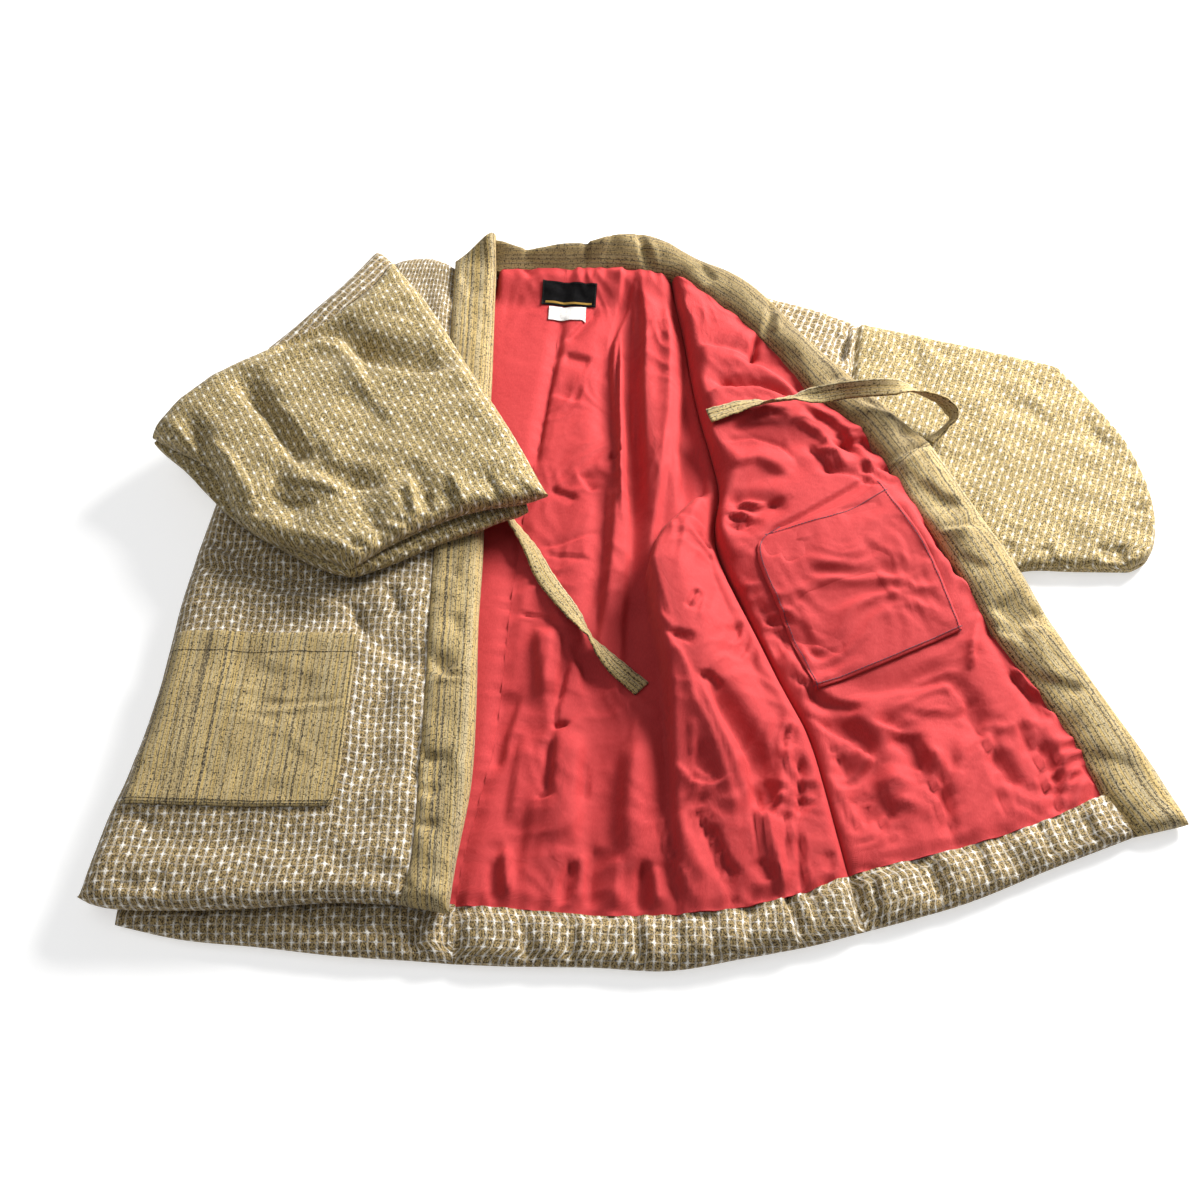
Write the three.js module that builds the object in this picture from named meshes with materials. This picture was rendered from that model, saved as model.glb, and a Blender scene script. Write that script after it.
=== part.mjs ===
import * as THREE from 'three';

// Padded hanten jacket, laid on its back. One front lies closed over the back with its sleeve folded
// over it, the other front is flipped open with its lining up. Millimetres, +Z up.
// Plan tables read X to the right and Y away from the hem. The group at the end moves the garment so
// that its origin lies on the surface under the middle of its box.

// Driving sizes
const MIDDLE = { x: 53.6, y: 49.65 };  // middle of the laid-out garment in the plan tables
const SEAM_GAP = 0.3;              // between two pieces sewn edge to edge
const LAY_GAP = 0.8;               // between layers that lie on each other
const LINING = 2;                  // lining cloth
const BACK_TOP = 16;               // back: outer cloth, wadding and lining
const HEM_TOP = 20;                // turned-up hem
const NECK_RISE = 6;               // the lining climbs this much to the collar seam
const CLOSED_TOP = 42;             // closed front, lying on the back
const OPEN_LOW = 18;               // open front where it lies on the surface
const OPEN_RISE = 19;              // and how much higher it lies on the shoulder and the sleeve
const SLEEVE_TOP = 22;             // open sleeve, two layers
const SLEEVE_SPLIT = 10.5;         // where its two layers meet
const FOLDED_BASE = 43.7;          // underside of the folded sleeve
const FOLDED_SPLIT = 60;           // where its two layers meet
const FOLDED_TOP = 82;
const POCKET_WALL = 1.6;
const TIE_WIDTH = 19;
const TIE_WALL = 2.4;
const LABEL_WALL = 0.8;

const table = (names, rows) => rows.map(
  (row) => Object.fromEntries(names.split(' ').map((name, i) => [name, row[i]])));

// Outline and seams of the back and the closed front, from the hem to the neck
const SIDE_FOLD = table('x y', [
  [-456, -325], [-446, -261], [-431, -197], [-419, -118], [-412, -16], [-402, 60], [-388, 140],
  [-352, 250], [-295, 345], [-243, 440]]);
const BACK_SIDE = table('x y', [
  [-424, -326], [-414, -261], [-399, -197], [-387, -118], [-380, -16], [-370, 60], [-356, 140],
  [-320, 245], [-263, 338], [-216, 426]]);
const BAND_SEAM = table('x y', [
  [-173, -333], [-166, -298], [-164, -220], [-164, -138], [-165, -50], [-166, 20], [-166, 120],
  [-165, 250], [-165, 340], [-165, 434]]);
const FREE_EDGE = table('x y', [
  [-131, -341], [-127, -296], [-117, -218], [-116, -136], [-118, -48], [-117, 23], [-118, 140],
  [-117, 260], [-118, 357], [-119, 464]]);
const CENTRE_BACK = table('x y', [
  [-127, -328], [-122, -287], [-111, -232], [-99, -168], [-87, 5], [-75, 120], [-59, 227],
  [-47, 345], [-38, 434]]);
// The open side's seam, then the dark crevice beside the flipped front
const SIDE_SEAM = table('x y', [
  [221, -300], [214, -258], [206, -210], [196, -160], [176, -110], [155, -55], [136, -5], [121, 40],
  [118, 80], [124, 123], [117, 177], [109, 218], [101, 273], [94, 338], [82, 424]]);

// Hem edge and the upper edge of the turn-up, left to right
const HEM_CLOSED = table('x y', [
  [-424, -344], [-365, -357], [-295, -364], [-225, -372], [-164, -376], [-127, -379]]);
const HEM_BACK = table('x y', [
  [-127, -379], [-79, -381], [-8, -382], [60, -385], [119, -375], [183, -363], [232, -350]]);
const HEM_OPEN = table('x y', [[232, -350], [280, -337], [326, -323], [405, -291], [483, -261]]);
const TURN_CLOSED = table('x y', [[-424, -326], [-300, -327], [-127, -328]]);
const TURN_BACK = table('x y', [
  [-127, -328], [-71, -332], [0, -338], [71, -337], [118, -333], [181, -317], [221, -300]]);
const TURN_OPEN = table('x y', [[221, -300], [290, -283], [354, -265], [410, -245], [461, -221]]);
const FRONT_HEM = table('x y', [
  [-456, -325], [-432, -335], [-370, -338], [-301, -336], [-233, -331], [-173, -333]]);

// Collar: its seam to the lining and its outer edge, from the left peak round to the hem
const NECK_SEAM_CLOSED = table('x y', [[-117, 431], [-86, 434], [-38, 434]]);
const NECK_SEAM_BACK = table('x y', [[-38, 434], [-14, 436], [39, 433], [82, 424]]);
const NECK_SEAM_FRONT = table('x y', [
  [95, 417], [117, 394], [155, 354], [194, 301], [240, 230], [271, 199], [302, 141]]);
const BAND_SEAM_OPEN = table('x y', [[302, 141], [326, 84], [354, 25], [387, -57], [421, -116],
  [445, -167], [461, -221]]);
const BAND_SEAM_HEM = table('x y', [[461, -221], [483, -261]]);
const COLLAR_EDGE_NECK = table('x y', [
  [-117, 463], [-80, 457], [-46, 462], [-9, 467], [22, 476], [50, 484], [80, 472]]);
const COLLAR_EDGE_FRONT = table('x y', [
  [80, 472], [97, 462], [155, 421], [190, 381], [228, 321], [271, 267], [302, 228], [346, 175]]);
const COLLAR_EDGE_OPEN = table('x y', [
  [346, 175], [372, 113], [400, 54], [441, -35], [479, -116], [510, -185], [535, -249]]);

// Height of the collar along its length: along runs from 0 at the left peak to 1 at the hem
const COLLAR_LIE = table('along crest under', [
  [0.00, 44, 0], [0.08, 41, 0], [0.20, 38, 0], [0.25, 38, 6], [0.29, 40, 22.8], [0.40, 42, 22.8],
  [0.64, 41, 22.8], [0.735, 34, 21.5], [0.79, 28, 1], [0.86, 22.5, 0], [1.00, 20, 0]]);

// The big soft ridge of the back beside the side seam, one row for each section across it
const RIDGE = table('y left crest right height', [
  [-320, 72, 132, 224, 7], [-250, 68, 122, 213, 14], [-200, 66, 114, 205, 22],
  [-150, 65, 106, 192, 30], [-100, 62, 94, 171, 38], [-50, 54, 80, 153, 44], [10, 48, 72, 129, 46],
  [60, 60, 84, 117, 38], [100, 88, 102, 119, 22], [124, 108, 115, 123, 6], [150, 110, 114, 119, 0]]);

// Folds: a ridge where height is above nought, a trough where it is below
const FOLD = 'x1 y1 x2 y2 width height';
const BACK_FOLDS = table(FOLD, [
  [84, 415, 74, 70, 12, 9], [61, 400, 50, 75, 9, -6], [35, 392, 34, 75, 9, -5],
  [12, 380, 14, 40, 14, 3], [-12, 250, -30, -120, 16, 3], [-4, 40, 4, -300, 18, -4],
  [-62, -60, -80, -300, 14, -4], [32, -140, 36, -330, 16, 3], [-40, -100, -44, -320, 14, 3]]);
const HEM_FOLDS = table(FOLD, [
  [-158, -390, -166, -320, 8, -5], [-127, -396, -124, -312, 8, -5], [-58, -396, -60, -316, 12, -3],
  [2, -398, 4, -316, 12, -3], [76, -398, 74, -318, 12, -4], [142, -386, 132, -312, 12, -4],
  [188, -376, 180, -300, 9, -4], [238, -362, 220, -285, 8, -5], [300, -345, 282, -270, 12, -4],
  [376, -316, 352, -250, 12, -4], [432, -292, 408, -232, 10, -3]]);
const OPEN_FOLDS = table(FOLD, [
  [104, 306, 206, 296, 14, -4], [108, 262, 236, 236, 14, -4], [118, 160, 250, 182, 15, -5],
  [128, 112, 226, 150, 14, -4], [158, -20, 262, -150, 16, -6], [176, -64, 300, -176, 15, 5],
  [206, -120, 262, -270, 12, -6], [232, -120, 292, -256, 12, 5], [262, -120, 330, -250, 13, -5],
  [318, -110, 396, -220, 14, -4], [362, -20, 430, -150, 13, -3]]);
const CLOSED_FOLDS = table(FOLD, [
  [-400, -20, -200, 8, 15, -4], [-390, 24, -230, -36, 14, 2.5], [-330, -52, -190, -44, 13, -3],
  [-200, -60, -214, -300, 15, -3], [-440, -282, -200, -280, 18, -4], [-190, 250, -200, 430, 12, -4]]);
const SLEEVE_FOLDS = table(FOLD, [
  [-352, 262, -130, 262, 18, -7], [-392, 238, -262, 96, 15, -8], [-430, 190, -378, 70, 12, -7],
  [-364, 228, -240, 84, 14, 6], [-262, 120, -214, 22, 14, -6], [-330, 120, -290, 20, 14, -5],
  [-196, 120, -160, 50, 12, -4]]);
const OPEN_SLEEVE_FOLDS = table(FOLD, [
  [330, 330, 420, 120, 22, -2], [540, 220, 470, 80, 24, -2], [480, 40, 440, 120, 18, -2]]);

// Sleeve folded over the closed front
const FOLDED_LOWER = {
  near: table('x y', [[-463, 165], [-429, 130], [-399, 95], [-358, 54], [-305, 19], [-267, -1],
    [-242, -7]]),
  cuff: table('x y', [[-242, -7], [-202, 10], [-158, 33], [-116, 51], [-96, 63], [-72, 77]]),
  far: table('x y', [[-246, 410], [-195, 342], [-153, 265], [-118, 201], [-90, 140], [-72, 77]]),
  turn: table('x y', [[-463, 165], [-445, 190], [-407, 226], [-352, 268], [-315, 312], [-281, 357],
    [-246, 410]]) };
const FOLDED_UPPER = {
  near: table('x y', [[-464, 168], [-428, 142], [-385, 108], [-363, 64], [-332, 32], [-293, 17],
    [-266, 6], [-238, -6]]),
  cuff: table('x y', [[-238, -6], [-201, 22], [-142, 54], [-84, 72], [-52, 86]]),
  far: table('x y', [[-237, 412], [-191, 347], [-149, 270], [-114, 206], [-81, 146], [-52, 86]]),
  turn: table('x y', [[-464, 168], [-445, 197], [-407, 235], [-351, 275]]),
  armhole: table('x y', [[-351, 275], [-317, 303], [-288, 335], [-258, 369], [-237, 412]]),
  flap: table('x y', [[-354, 279], [-315, 325], [-281, 370], [-248, 422]]) };

// Sleeve and shoulder of the open side
const ARMHOLE = table('x y', [[264, 216], [277, 287], [290, 362]]);
const OPEN_SLEEVE = {
  under: table('x y', [[374, 4], [366, 24], [338, 84], [317, 140], [286, 192], [264, 216]]),
  near: table('x y', [[374, 4], [400, 18], [430, 30], [480, 30], [536, 30]]),
  cuff: table('x y', [[536, 30], [555, 42], [569, 80], [571, 129], [562, 180], [543, 226], [503, 296]]),
  far: table('x y', [[290, 362], [373, 338], [440, 317], [503, 296]]) };
const SHOULDER = {
  near: table('x y', [[150, 366], [200, 308], [238, 250], [264, 216]]),
  far: table('x y', [[166, 411], [223, 391], [290, 362]]),
  left: table('x y', [[150, 366], [166, 411]]) };

const OUTER_POCKET = {
  near: table('x y', [[-418, -243], [-330, -246], [-262, -246], [-243, -240]]),
  right: table('x y', [[-243, -240], [-234, -226], [-232, -150], [-231, -66]]),
  far: table('x y', [[-406, -63], [-320, -64], [-231, -66]]),
  left: table('x y', [[-418, -243], [-411, -150], [-406, -63]]) };
const INNER_POCKET = {
  near: table('x y', [[205, -114], [278, -84], [352, -50]]),
  right: table('x y', [[352, -50], [330, 28], [302, 109]]),
  far: table('x y', [[178, 64], [202, 72], [250, 92], [302, 109]]),
  left: table('x y', [[205, -114], [178, -36], [157, 28], [160, 48], [178, 64]]) };

// Ties: centre line, and lean, the turn of the strip about that line in degrees
const TIE_OPEN = table('x y z lean', [
  [360, 196, 29, 10], [371, 203, 40, 60], [362, 214, 53, 60], [332, 224, 60, 34], [295, 229, 62, 58],
  [258, 226, 60, 84], [225, 221, 55, 62], [190, 221, 47, 26], [150, 216, 30, 6], [115, 205, 30, 0]]);
const TIE_CLOSED = table('x y z lean', [
  [-106, 112, 27, 0], [-92, 84, 22, 6], [-72, 52, 16, 14], [-54, 14, 16, 10], [-30, -26, 16, -18],
  [-10, -58, 16, 12], [14, -86, 16, 4], [40, -112, 16, 0]]);
const NECK_LABEL = { x: -37, y: 404, width: 62, depth: 36, turn: 5 };
const CARE_LABEL = { x: -34, y: 371, width: 42, depth: 22, turn: 4 };

const clamp = (t) => Math.min(1, Math.max(0, t));
const ease = (t) => clamp(t) ** 2 * (3 - 2 * clamp(t));
const mix = (a, b, t) => a + (b - a) * t;
const gap = (a, b) => Math.hypot(a.x - b.x, a.y - b.y);
// Round of a rolled edge: 0 at the edge, 1 from the radius inwards
const roll = (distance, radius) =>
  (distance >= radius ? 1 : Math.sqrt(Math.max(0, 1 - (1 - distance / radius) ** 2)));

// Value of a table's column at a place between its rows
function between(rows, key, at, column) {
  let n = 1;
  while (n < rows.length - 1 && rows[n][key] < at) n += 1;
  const [a, b] = [rows[n - 1], rows[n]];
  return mix(a[column], b[column], clamp((at - a[key]) / (b[key] - a[key])));
}

function foldHeight(folds, x, y) {
  return folds.reduce((sum, f) => {
    const run = { x: f.x2 - f.x1, y: f.y2 - f.y1 };
    const length = Math.hypot(run.x, run.y);
    const along = ((x - f.x1) * run.x + (y - f.y1) * run.y) / length ** 2;
    const off = ((x - f.x1) * run.y - (y - f.y1) * run.x) / length;
    return sum + f.height * Math.exp(-((off / f.width) ** 2)) * ease(4 * along) * ease(4 - 4 * along);
  }, 0);
}

function ridgeHeight(x, y) {
  const at = (column) => between(RIDGE, 'y', y, column);
  const [left, crest, right, height] = ['left', 'crest', 'right', 'height'].map(at);
  if (x <= left || x >= right) return 0;
  return x < crest
    ? height * roll(x - left, crest - left)
    : height * (1 - ease((x - crest) / (right - crest))) ** 0.8;
}

// Points along a smooth line through a table. marks and tail are extra places in mm from its two ends
function stations(rows, count, { marks = [], tail = [] } = {}) {
  const line = new THREE.CatmullRomCurve3(
    rows.map((r) => new THREE.Vector3(r.x, r.y, 0)), false, 'centripetal');
  const length = line.getLength();
  const first = marks.length ? marks[marks.length - 1] : 0;
  const last = length - (tail.length ? tail[0] : 0);
  const places = [...(marks.length ? [0, ...marks.slice(0, -1)] : [])];
  for (let i = 0; i <= count; i += 1) places.push(mix(first, last, i / count));
  if (tail.length) places.push(...tail.slice(1).map((t) => length - t), length);
  return places.map((p) => {
    const { x, y } = line.getPointAt(clamp(p / length));
    return { x, y };
  });
}
// Points along a line at the same shares of its length as another line's points
function matched(rows, line) {
  const curve = new THREE.CatmullRomCurve3(
    rows.map((r) => new THREE.Vector3(r.x, r.y, 0)), false, 'centripetal');
  return shares(line).map((s) => {
    const { x, y } = curve.getPointAt(clamp(s));
    return { x, y };
  });
}
const joined = (...lines) => lines.reduce((a, b) => [...a, ...b.slice(1)]);
const turned = (line) => [...line].reverse();

function shares(line) {
  const sums = [0];
  for (let i = 1; i < line.length; i += 1) sums.push(sums[i - 1] + gap(line[i], line[i - 1]));
  return sums.map((s) => s / sums[sums.length - 1]);
}
const share = (a, b) => shares(a).map((s, i) => (s + shares(b)[i]) / 2);

// Grid of plan points between four edges; near and far run left to right, the others near to far
function spread({ near, far, left, right }) {
  const us = share(near, far);
  const vs = share(left, right);
  const [nn, nf, fn, ff] = [near[0], near[near.length - 1], far[0], far[far.length - 1]];
  const grid = us.map((u, i) => vs.map((v, j) => {
    const at = (k) => mix(near[i][k], far[i][k], v) + mix(left[j][k], right[j][k], u)
      - mix(mix(nn[k], nf[k], u), mix(fn[k], ff[k], u), v);
    return { x: at('x'), y: at('y') };
  }));
  return insetEdges(grid);
}

// Moves a grid's edge points inwards, square to each edge, by half the gap of a seam
function insetEdges(grid) {
  const [ni, nj] = [grid.length - 1, grid[0].length - 1];
  const at = (i, j) => grid[Math.min(Math.max(i, 0), ni)][Math.min(Math.max(j, 0), nj)];
  const step = (i, j, di, dj) => {
    const [a, b] = [at(i - Math.abs(dj), j - Math.abs(di)), at(i + Math.abs(dj), j + Math.abs(di))];
    const [here, inner] = [at(i, j), at(i + di, j + dj)];
    const length = Math.max(gap(a, b), 1e-6);
    const normal = { x: -(b.y - a.y) / length, y: (b.x - a.x) / length };
    const inwards = Math.sign(normal.x * (inner.x - here.x) + normal.y * (inner.y - here.y));
    return { x: normal.x * inwards * SEAM_GAP / 2, y: normal.y * inwards * SEAM_GAP / 2 };
  };
  return grid.map((column, i) => column.map((p, j) => {
    const moves = [];
    if (i === 0) moves.push(step(i, j, 1, 0));
    if (i === ni) moves.push(step(i, j, -1, 0));
    if (j === 0) moves.push(step(i, j, 0, 1));
    if (j === nj) moves.push(step(i, j, 0, -1));
    return moves.reduce((q, m) => ({ x: q.x + m.x, y: q.y + m.y }), p);
  }));
}

// Closed solid over a grid: upper and lower give the heights of its two faces at each grid point
function solidOf(grid, heights) {
  const [ni, nj] = [grid.length, grid[0].length];
  const positions = [];
  const index = [];
  const place = (i, j, face) => (face * ni + i) * nj + j;
  for (const face of [0, 1]) {
    grid.forEach((column, i) => column.forEach((p, j) => {
      positions.push(p.x, p.y, heights[i][j][face]);
    }));
  }
  const quad = (a, b, c, d) => index.push(a, b, c, a, c, d);
  for (let i = 0; i < ni - 1; i += 1) {
    for (let j = 0; j < nj - 1; j += 1) {
      quad(place(i, j, 0), place(i + 1, j, 0), place(i + 1, j + 1, 0), place(i, j + 1, 0));
      quad(place(i, j, 1), place(i, j + 1, 1), place(i + 1, j + 1, 1), place(i + 1, j, 1));
    }
  }
  for (let i = 0; i < ni - 1; i += 1) {
    quad(place(i, 0, 1), place(i + 1, 0, 1), place(i + 1, 0, 0), place(i, 0, 0));
    quad(place(i + 1, nj - 1, 1), place(i, nj - 1, 1), place(i, nj - 1, 0), place(i + 1, nj - 1, 0));
  }
  for (let j = 0; j < nj - 1; j += 1) {
    quad(place(ni - 1, j, 1), place(ni - 1, j + 1, 1), place(ni - 1, j + 1, 0), place(ni - 1, j, 0));
    quad(place(0, j + 1, 1), place(0, j, 1), place(0, j, 0), place(0, j + 1, 0));
  }
  const geometry = new THREE.BufferGeometry();
  geometry.setAttribute('position', new THREE.Float32BufferAttribute(positions, 3));
  geometry.setIndex(index);
  return geometry;
}

const jacket = new THREE.Group();
function add(name, geometry, { color, roughness = 0.9 }) {
  const material = new THREE.MeshStandardMaterial({ color, roughness, metalness: 0 });
  const mesh = new THREE.Mesh(geometry, material);
  mesh.name = name;
  jacket.add(mesh);
}

// Padded or flat panel. edges says how each side ends: dent is a sewn-in hollow, round the radius of
// a rolled edge above, under the radius below, seat the height where the two meet.
// drop lowers the upper face after that, and wall makes the lower face follow it.
function panel(name, cloth, sides, { upper, lower, edges = {}, drop = 0, wall = 0 }) {
  const grid = spread(sides);
  const [ni, nj] = [grid.length - 1, grid[0].length - 1];
  const heights = grid.map((column, i) => column.map((p, j) => {
    const away = { left: gap(p, grid[0][j]), right: gap(p, grid[ni][j]),
      near: gap(p, column[0]), far: gap(p, column[nj]) };
    const where = { ...away, i, j };
    let top = upper(p.x, p.y, where);
    let base = lower ? lower(p.x, p.y, where) : 0;
    for (const [side, edge] of Object.entries(edges)) {
      const d = away[side] + SEAM_GAP / 2;
      const seat = typeof edge.seat === 'function' ? edge.seat(p.x, p.y, where) : edge.seat;
      if (edge.dent) top -= edge.dent * (1 - ease(d / (edge.over ?? 14)));
      if (edge.round) top = seat + (top - seat) * roll(d, edge.round);
      if (edge.under) base = seat - (seat - base) * roll(d, edge.under);
    }
    top -= drop;
    return [top, wall ? top - wall : Math.min(base, top - 1)];
  }));
  const geometry = solidOf(grid, heights);
  add(name, geometry, cloth);
  return { grid, heights };
}

// Height of a panel's upper face at a plan point, measured on its own facets
function faceOf({ grid, heights }) {
  const corner = (i, j) => ({ ...grid[i][j], z: heights[i][j][0] });
  const triangles = [];
  for (let i = 0; i < grid.length - 1; i += 1) {
    for (let j = 0; j < grid[0].length - 1; j += 1) {
      triangles.push([corner(i, j), corner(i + 1, j), corner(i + 1, j + 1)]);
      triangles.push([corner(i, j), corner(i + 1, j + 1), corner(i, j + 1)]);
    }
  }
  return (x, y) => {
    for (const [a, b, c] of triangles) {
      const area = (b.x - a.x) * (c.y - a.y) - (c.x - a.x) * (b.y - a.y);
      const s = ((b.x - x) * (c.y - y) - (c.x - x) * (b.y - y)) / area;
      const t = ((c.x - x) * (a.y - y) - (a.x - x) * (c.y - y)) / area;
      if (s >= -1e-6 && t >= -1e-6 && s + t <= 1 + 1e-6) return s * a.z + t * b.z + (1 - s - t) * c.z;
    }
    return -Infinity;
  };
}

const CHECK = { color: 0x8a7a45 };
const SLEEVE_CHECK = { color: 0xa8935a };
const STRIPE = { color: 0x8d7a44 };
const RED = { color: 0xb8303a, roughness: 0.8 };
const BLACK = { color: 0x17151a, roughness: 0.7 };
const WHITE = { color: 0xe9e6e2, roughness: 0.8 };

// Shared seams: both pieces along a seam use the same points
const ACROSS = { closed: 3, hidden: 3, back: 13, open: 10 };
const centreBack = stations(CENTRE_BACK, 17, { marks: [10] });
const sideSeam = stations(SIDE_SEAM, 17, { marks: [10] });
const backSide = stations(BACK_SIDE, 17, { marks: [10] });
const toEdge = { tail: [14, 5] };
const turnClosed = stations(TURN_CLOSED, ACROSS.closed + ACROSS.hidden);
const turnBack = stations(TURN_BACK, ACROSS.back - 2, toEdge);
const turnOpen = stations(TURN_OPEN, ACROSS.open - 2, { marks: [5, 14] });
const neckClosed = stations(NECK_SEAM_CLOSED, ACROSS.closed);
const neckBack = stations(NECK_SEAM_BACK, ACROSS.back - 2, toEdge);
const neckFront = stations(NECK_SEAM_FRONT, 9);
const bandOpen = stations(BAND_SEAM_OPEN, 9);
const bandHem = stations(BAND_SEAM_HEM, 3);

// Back, and its lining
const backStack = (x, y) => BACK_TOP + ridgeHeight(x, y)
  + foldHeight(BACK_FOLDS, x, y) * ease((x + 112) / 20) * ease((sideX(y) - x) / 16)
  + NECK_RISE * ease((y - 385) / 45);
const sideX = (y) => between(SIDE_SEAM, 'y', y, 'x');
const lining = { wall: LINING };
const shell = { drop: LINING + SEAM_GAP };
const backOpen = { near: turnBack, far: neckBack, left: centreBack, right: sideSeam };
const backOpenEdges = { left: { dent: 2 }, near: { dent: 2.5 }, far: { dent: 2 },
  right: { round: 14, seat: 8 } };
panel('back_open_side', CHECK, backOpen, { upper: backStack, edges: backOpenEdges, ...shell });
const liningBackOpen = panel('lining_back_open_side', RED, backOpen,
  { upper: backStack, edges: backOpenEdges, ...lining });
const farClosed = joined(stations(table('x y', [[-216, 426], [-166, 430], [-117, 431]]),
  ACROSS.hidden), neckClosed);
const backClosed = { near: turnClosed, far: farClosed, left: backSide, right: centreBack };
const backClosedStack = (x, y) => BACK_TOP
  + (foldHeight(BACK_FOLDS, x, y) + NECK_RISE * ease((y - 385) / 45)) * ease((x + 112) / 20);
const backClosedEdges = { left: { round: 12, seat: 8, under: 6 }, near: { dent: 2.5 },
  right: { dent: 2 }, far: { dent: 1 } };
panel('back_closed_side', CHECK, backClosed,
  { upper: backClosedStack, edges: backClosedEdges, ...shell });
const liningBackClosed = panel('lining_back_closed_side', RED, backClosed,
  { upper: backClosedStack, edges: { ...backClosedEdges, left: { dent: 0 } }, ...lining });

// Hem turn-ups: the outer cloth folded up over the hem, with the wadding rolled into it
const hemMarks = { marks: [4, 10, 18] };
const hemStack = (x, y) => HEM_TOP + ridgeHeight(x, Math.max(y, -318)) * 0.6
  + foldHeight(HEM_FOLDS, x, y);
const hemEdges = { near: { round: 18, seat: 8, under: 9 }, far: { dent: 3.5 } };
const hemEnd = (rows) => stations(table('x y', rows), 2, hemMarks);
const hemEnds = {
  closed: stations(table('x y', [[-424, -344], [-424, -326]]), 5),
  centre: hemEnd([[-127, -379], [-127, -328]]),
  side: hemEnd([[232, -350], [226, -324], [221, -300]]),
  band: hemEnd([[483, -261], [461, -221]]) };
panel('hem_back_closed_side', CHECK, {
  near: stations(HEM_CLOSED, ACROSS.closed + ACROSS.hidden), far: turnClosed,
  left: hemEnds.closed, right: hemEnds.centre },
{ upper: (x, y) => mix(17, 19.5, ease((x + 424) / 60)) + foldHeight(HEM_FOLDS, x, y),
  edges: { ...hemEdges, far: { dent: 4 }, left: { round: 12, seat: 8, under: 6 } } });
panel('hem_back_open_side', CHECK, {
  near: stations(HEM_BACK, ACROSS.back - 2, toEdge), far: turnBack,
  left: hemEnds.centre, right: hemEnds.side },
{ upper: hemStack, edges: { ...hemEdges, left: { dent: 2 }, right: { dent: 3 } } });
panel('hem_open_front', CHECK, {
  near: stations(HEM_OPEN, ACROSS.open - 2, { marks: [5, 14] }), far: turnOpen,
  left: hemEnds.side, right: hemEnds.band },
{ upper: hemStack, edges: { ...hemEdges, left: { dent: 3 }, right: { dent: 3 } } });

// Open front, lying on the surface and, higher up, on the shoulder and the sleeve
const openStack = (x, y) => OPEN_LOW + OPEN_RISE * ease((y + 120) / 200)
  + foldHeight(OPEN_FOLDS, x, y) * ease((x - sideX(y)) / 22);
const openFront = { near: turnOpen, left: sideSeam,
  far: stations(table('x y', [[82, 424], [95, 417]]), ACROSS.open),
  right: turned(joined(neckFront, bandOpen)) };
const openEdges = { left: { round: 15, seat: 9 }, near: { dent: 2.5 }, right: { dent: 5, over: 20 } };
panel('front_open', CHECK, openFront, { upper: openStack, edges: openEdges, ...shell });
const liningFrontOpen = panel('lining_front_open', RED, openFront,
  { upper: openStack, edges: openEdges, ...lining });

// Closed front, outer face up, lying on the back and turned down round the garment's side
const bandMarks = { marks: [4, 12, 24] };
const bandClosed = stations(BAND_SEAM, 14, bandMarks);
const closedLower = (x, y) => BACK_TOP + LAY_GAP + 4 * ease((-296 - y) / 24);
const frontClosed = panel('front_closed', CHECK, {
  near: stations(FRONT_HEM, 6, { marks: [6, 14, 26] }),
  far: stations(table('x y', [[-243, 440], [-196, 449], [-165, 434]]), 9),
  left: stations(SIDE_FOLD, 14, bandMarks), right: bandClosed },
{ upper: (x, y) => CLOSED_TOP - 6 * ease((y - 340) / 80) + foldHeight(CLOSED_FOLDS, x, y),
  lower: (x, y, { left }) => mix(1.5, closedLower(x, y), ease((left - 8) / 16)),
  edges: { left: { round: 26, seat: 15, under: 14 }, near: { round: 15, seat: 30, under: 9 },
    far: { round: 16, seat: 20 }, right: { dent: 3 } } });

// Collar of the closed front, ending in the peak beside the neck
panel('collar_closed', STRIPE, {
  near: stations(table('x y', [[-173, -333], [-131, -341]]), 2, { marks: [8], tail: [9, 3] }),
  far: stations(table('x y', [[-165, 434], [-119, 464]]), 2, { marks: [8], tail: [9, 3] }),
  left: bandClosed, right: stations(FREE_EDGE, 14, bandMarks) },
{ upper: (x, y) => 43 + 8 * ease((y - 425) / 40) * ease((x + 165) / 40),
  lower: closedLower,
  edges: { left: { round: 12, seat: 37 }, near: { round: 15, seat: 30, under: 9 },
    far: { round: 10, seat: 34, under: 8 }, right: { round: 15, seat: 29, under: 9 } } });

// Collar round the neck and down the open front, in two pieces joined above the tie
function collar(name, inner, outer, ends, from, extra = {}) {
  const sums = [from];
  for (let i = 1; i < inner.length; i += 1) sums.push(sums[i - 1] + gap(inner[i], inner[i - 1]) / 998);
  const lie = (column) => (x, y, { i }) => between(COLLAR_LIE, 'along', sums[i], column);
  const across = (a, b) => stations(table('x y', [[a.x, a.y], [b.x, b.y]]), 2,
    { marks: [8], tail: [13, 4] });
  panel(name, STRIPE, { near: inner, far: outer,
    left: across(inner[0], outer[0]), right: across(inner[inner.length - 1], outer[outer.length - 1]) },
  { upper: lie('crest'), lower: lie('under'), edges: { ...ends,
    near: { round: 13, seat: (x, y, w) => lie('crest')(x, y, w) - 8 },
    far: { round: 18, under: 9,
      seat: (x, y, w) => mix(lie('under')(x, y, w), lie('crest')(x, y, w), 0.45) } }, ...extra });
  return sums[sums.length - 1];
}
const neckInner = joined(neckClosed, neckBack);
const frontInner = joined([{ x: 82, y: 424 }, { x: 95, y: 417 }], neckFront);
const neckEnd = collar('collar_neck', joined(neckInner, frontInner),
  joined(matched(COLLAR_EDGE_NECK, neckInner), matched(COLLAR_EDGE_FRONT, frontInner)),
  { left: { dent: 2 }, right: { dent: 2, over: 10 } }, 0);
const lowerInner = joined(bandOpen, turned(hemEnds.band));
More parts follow.
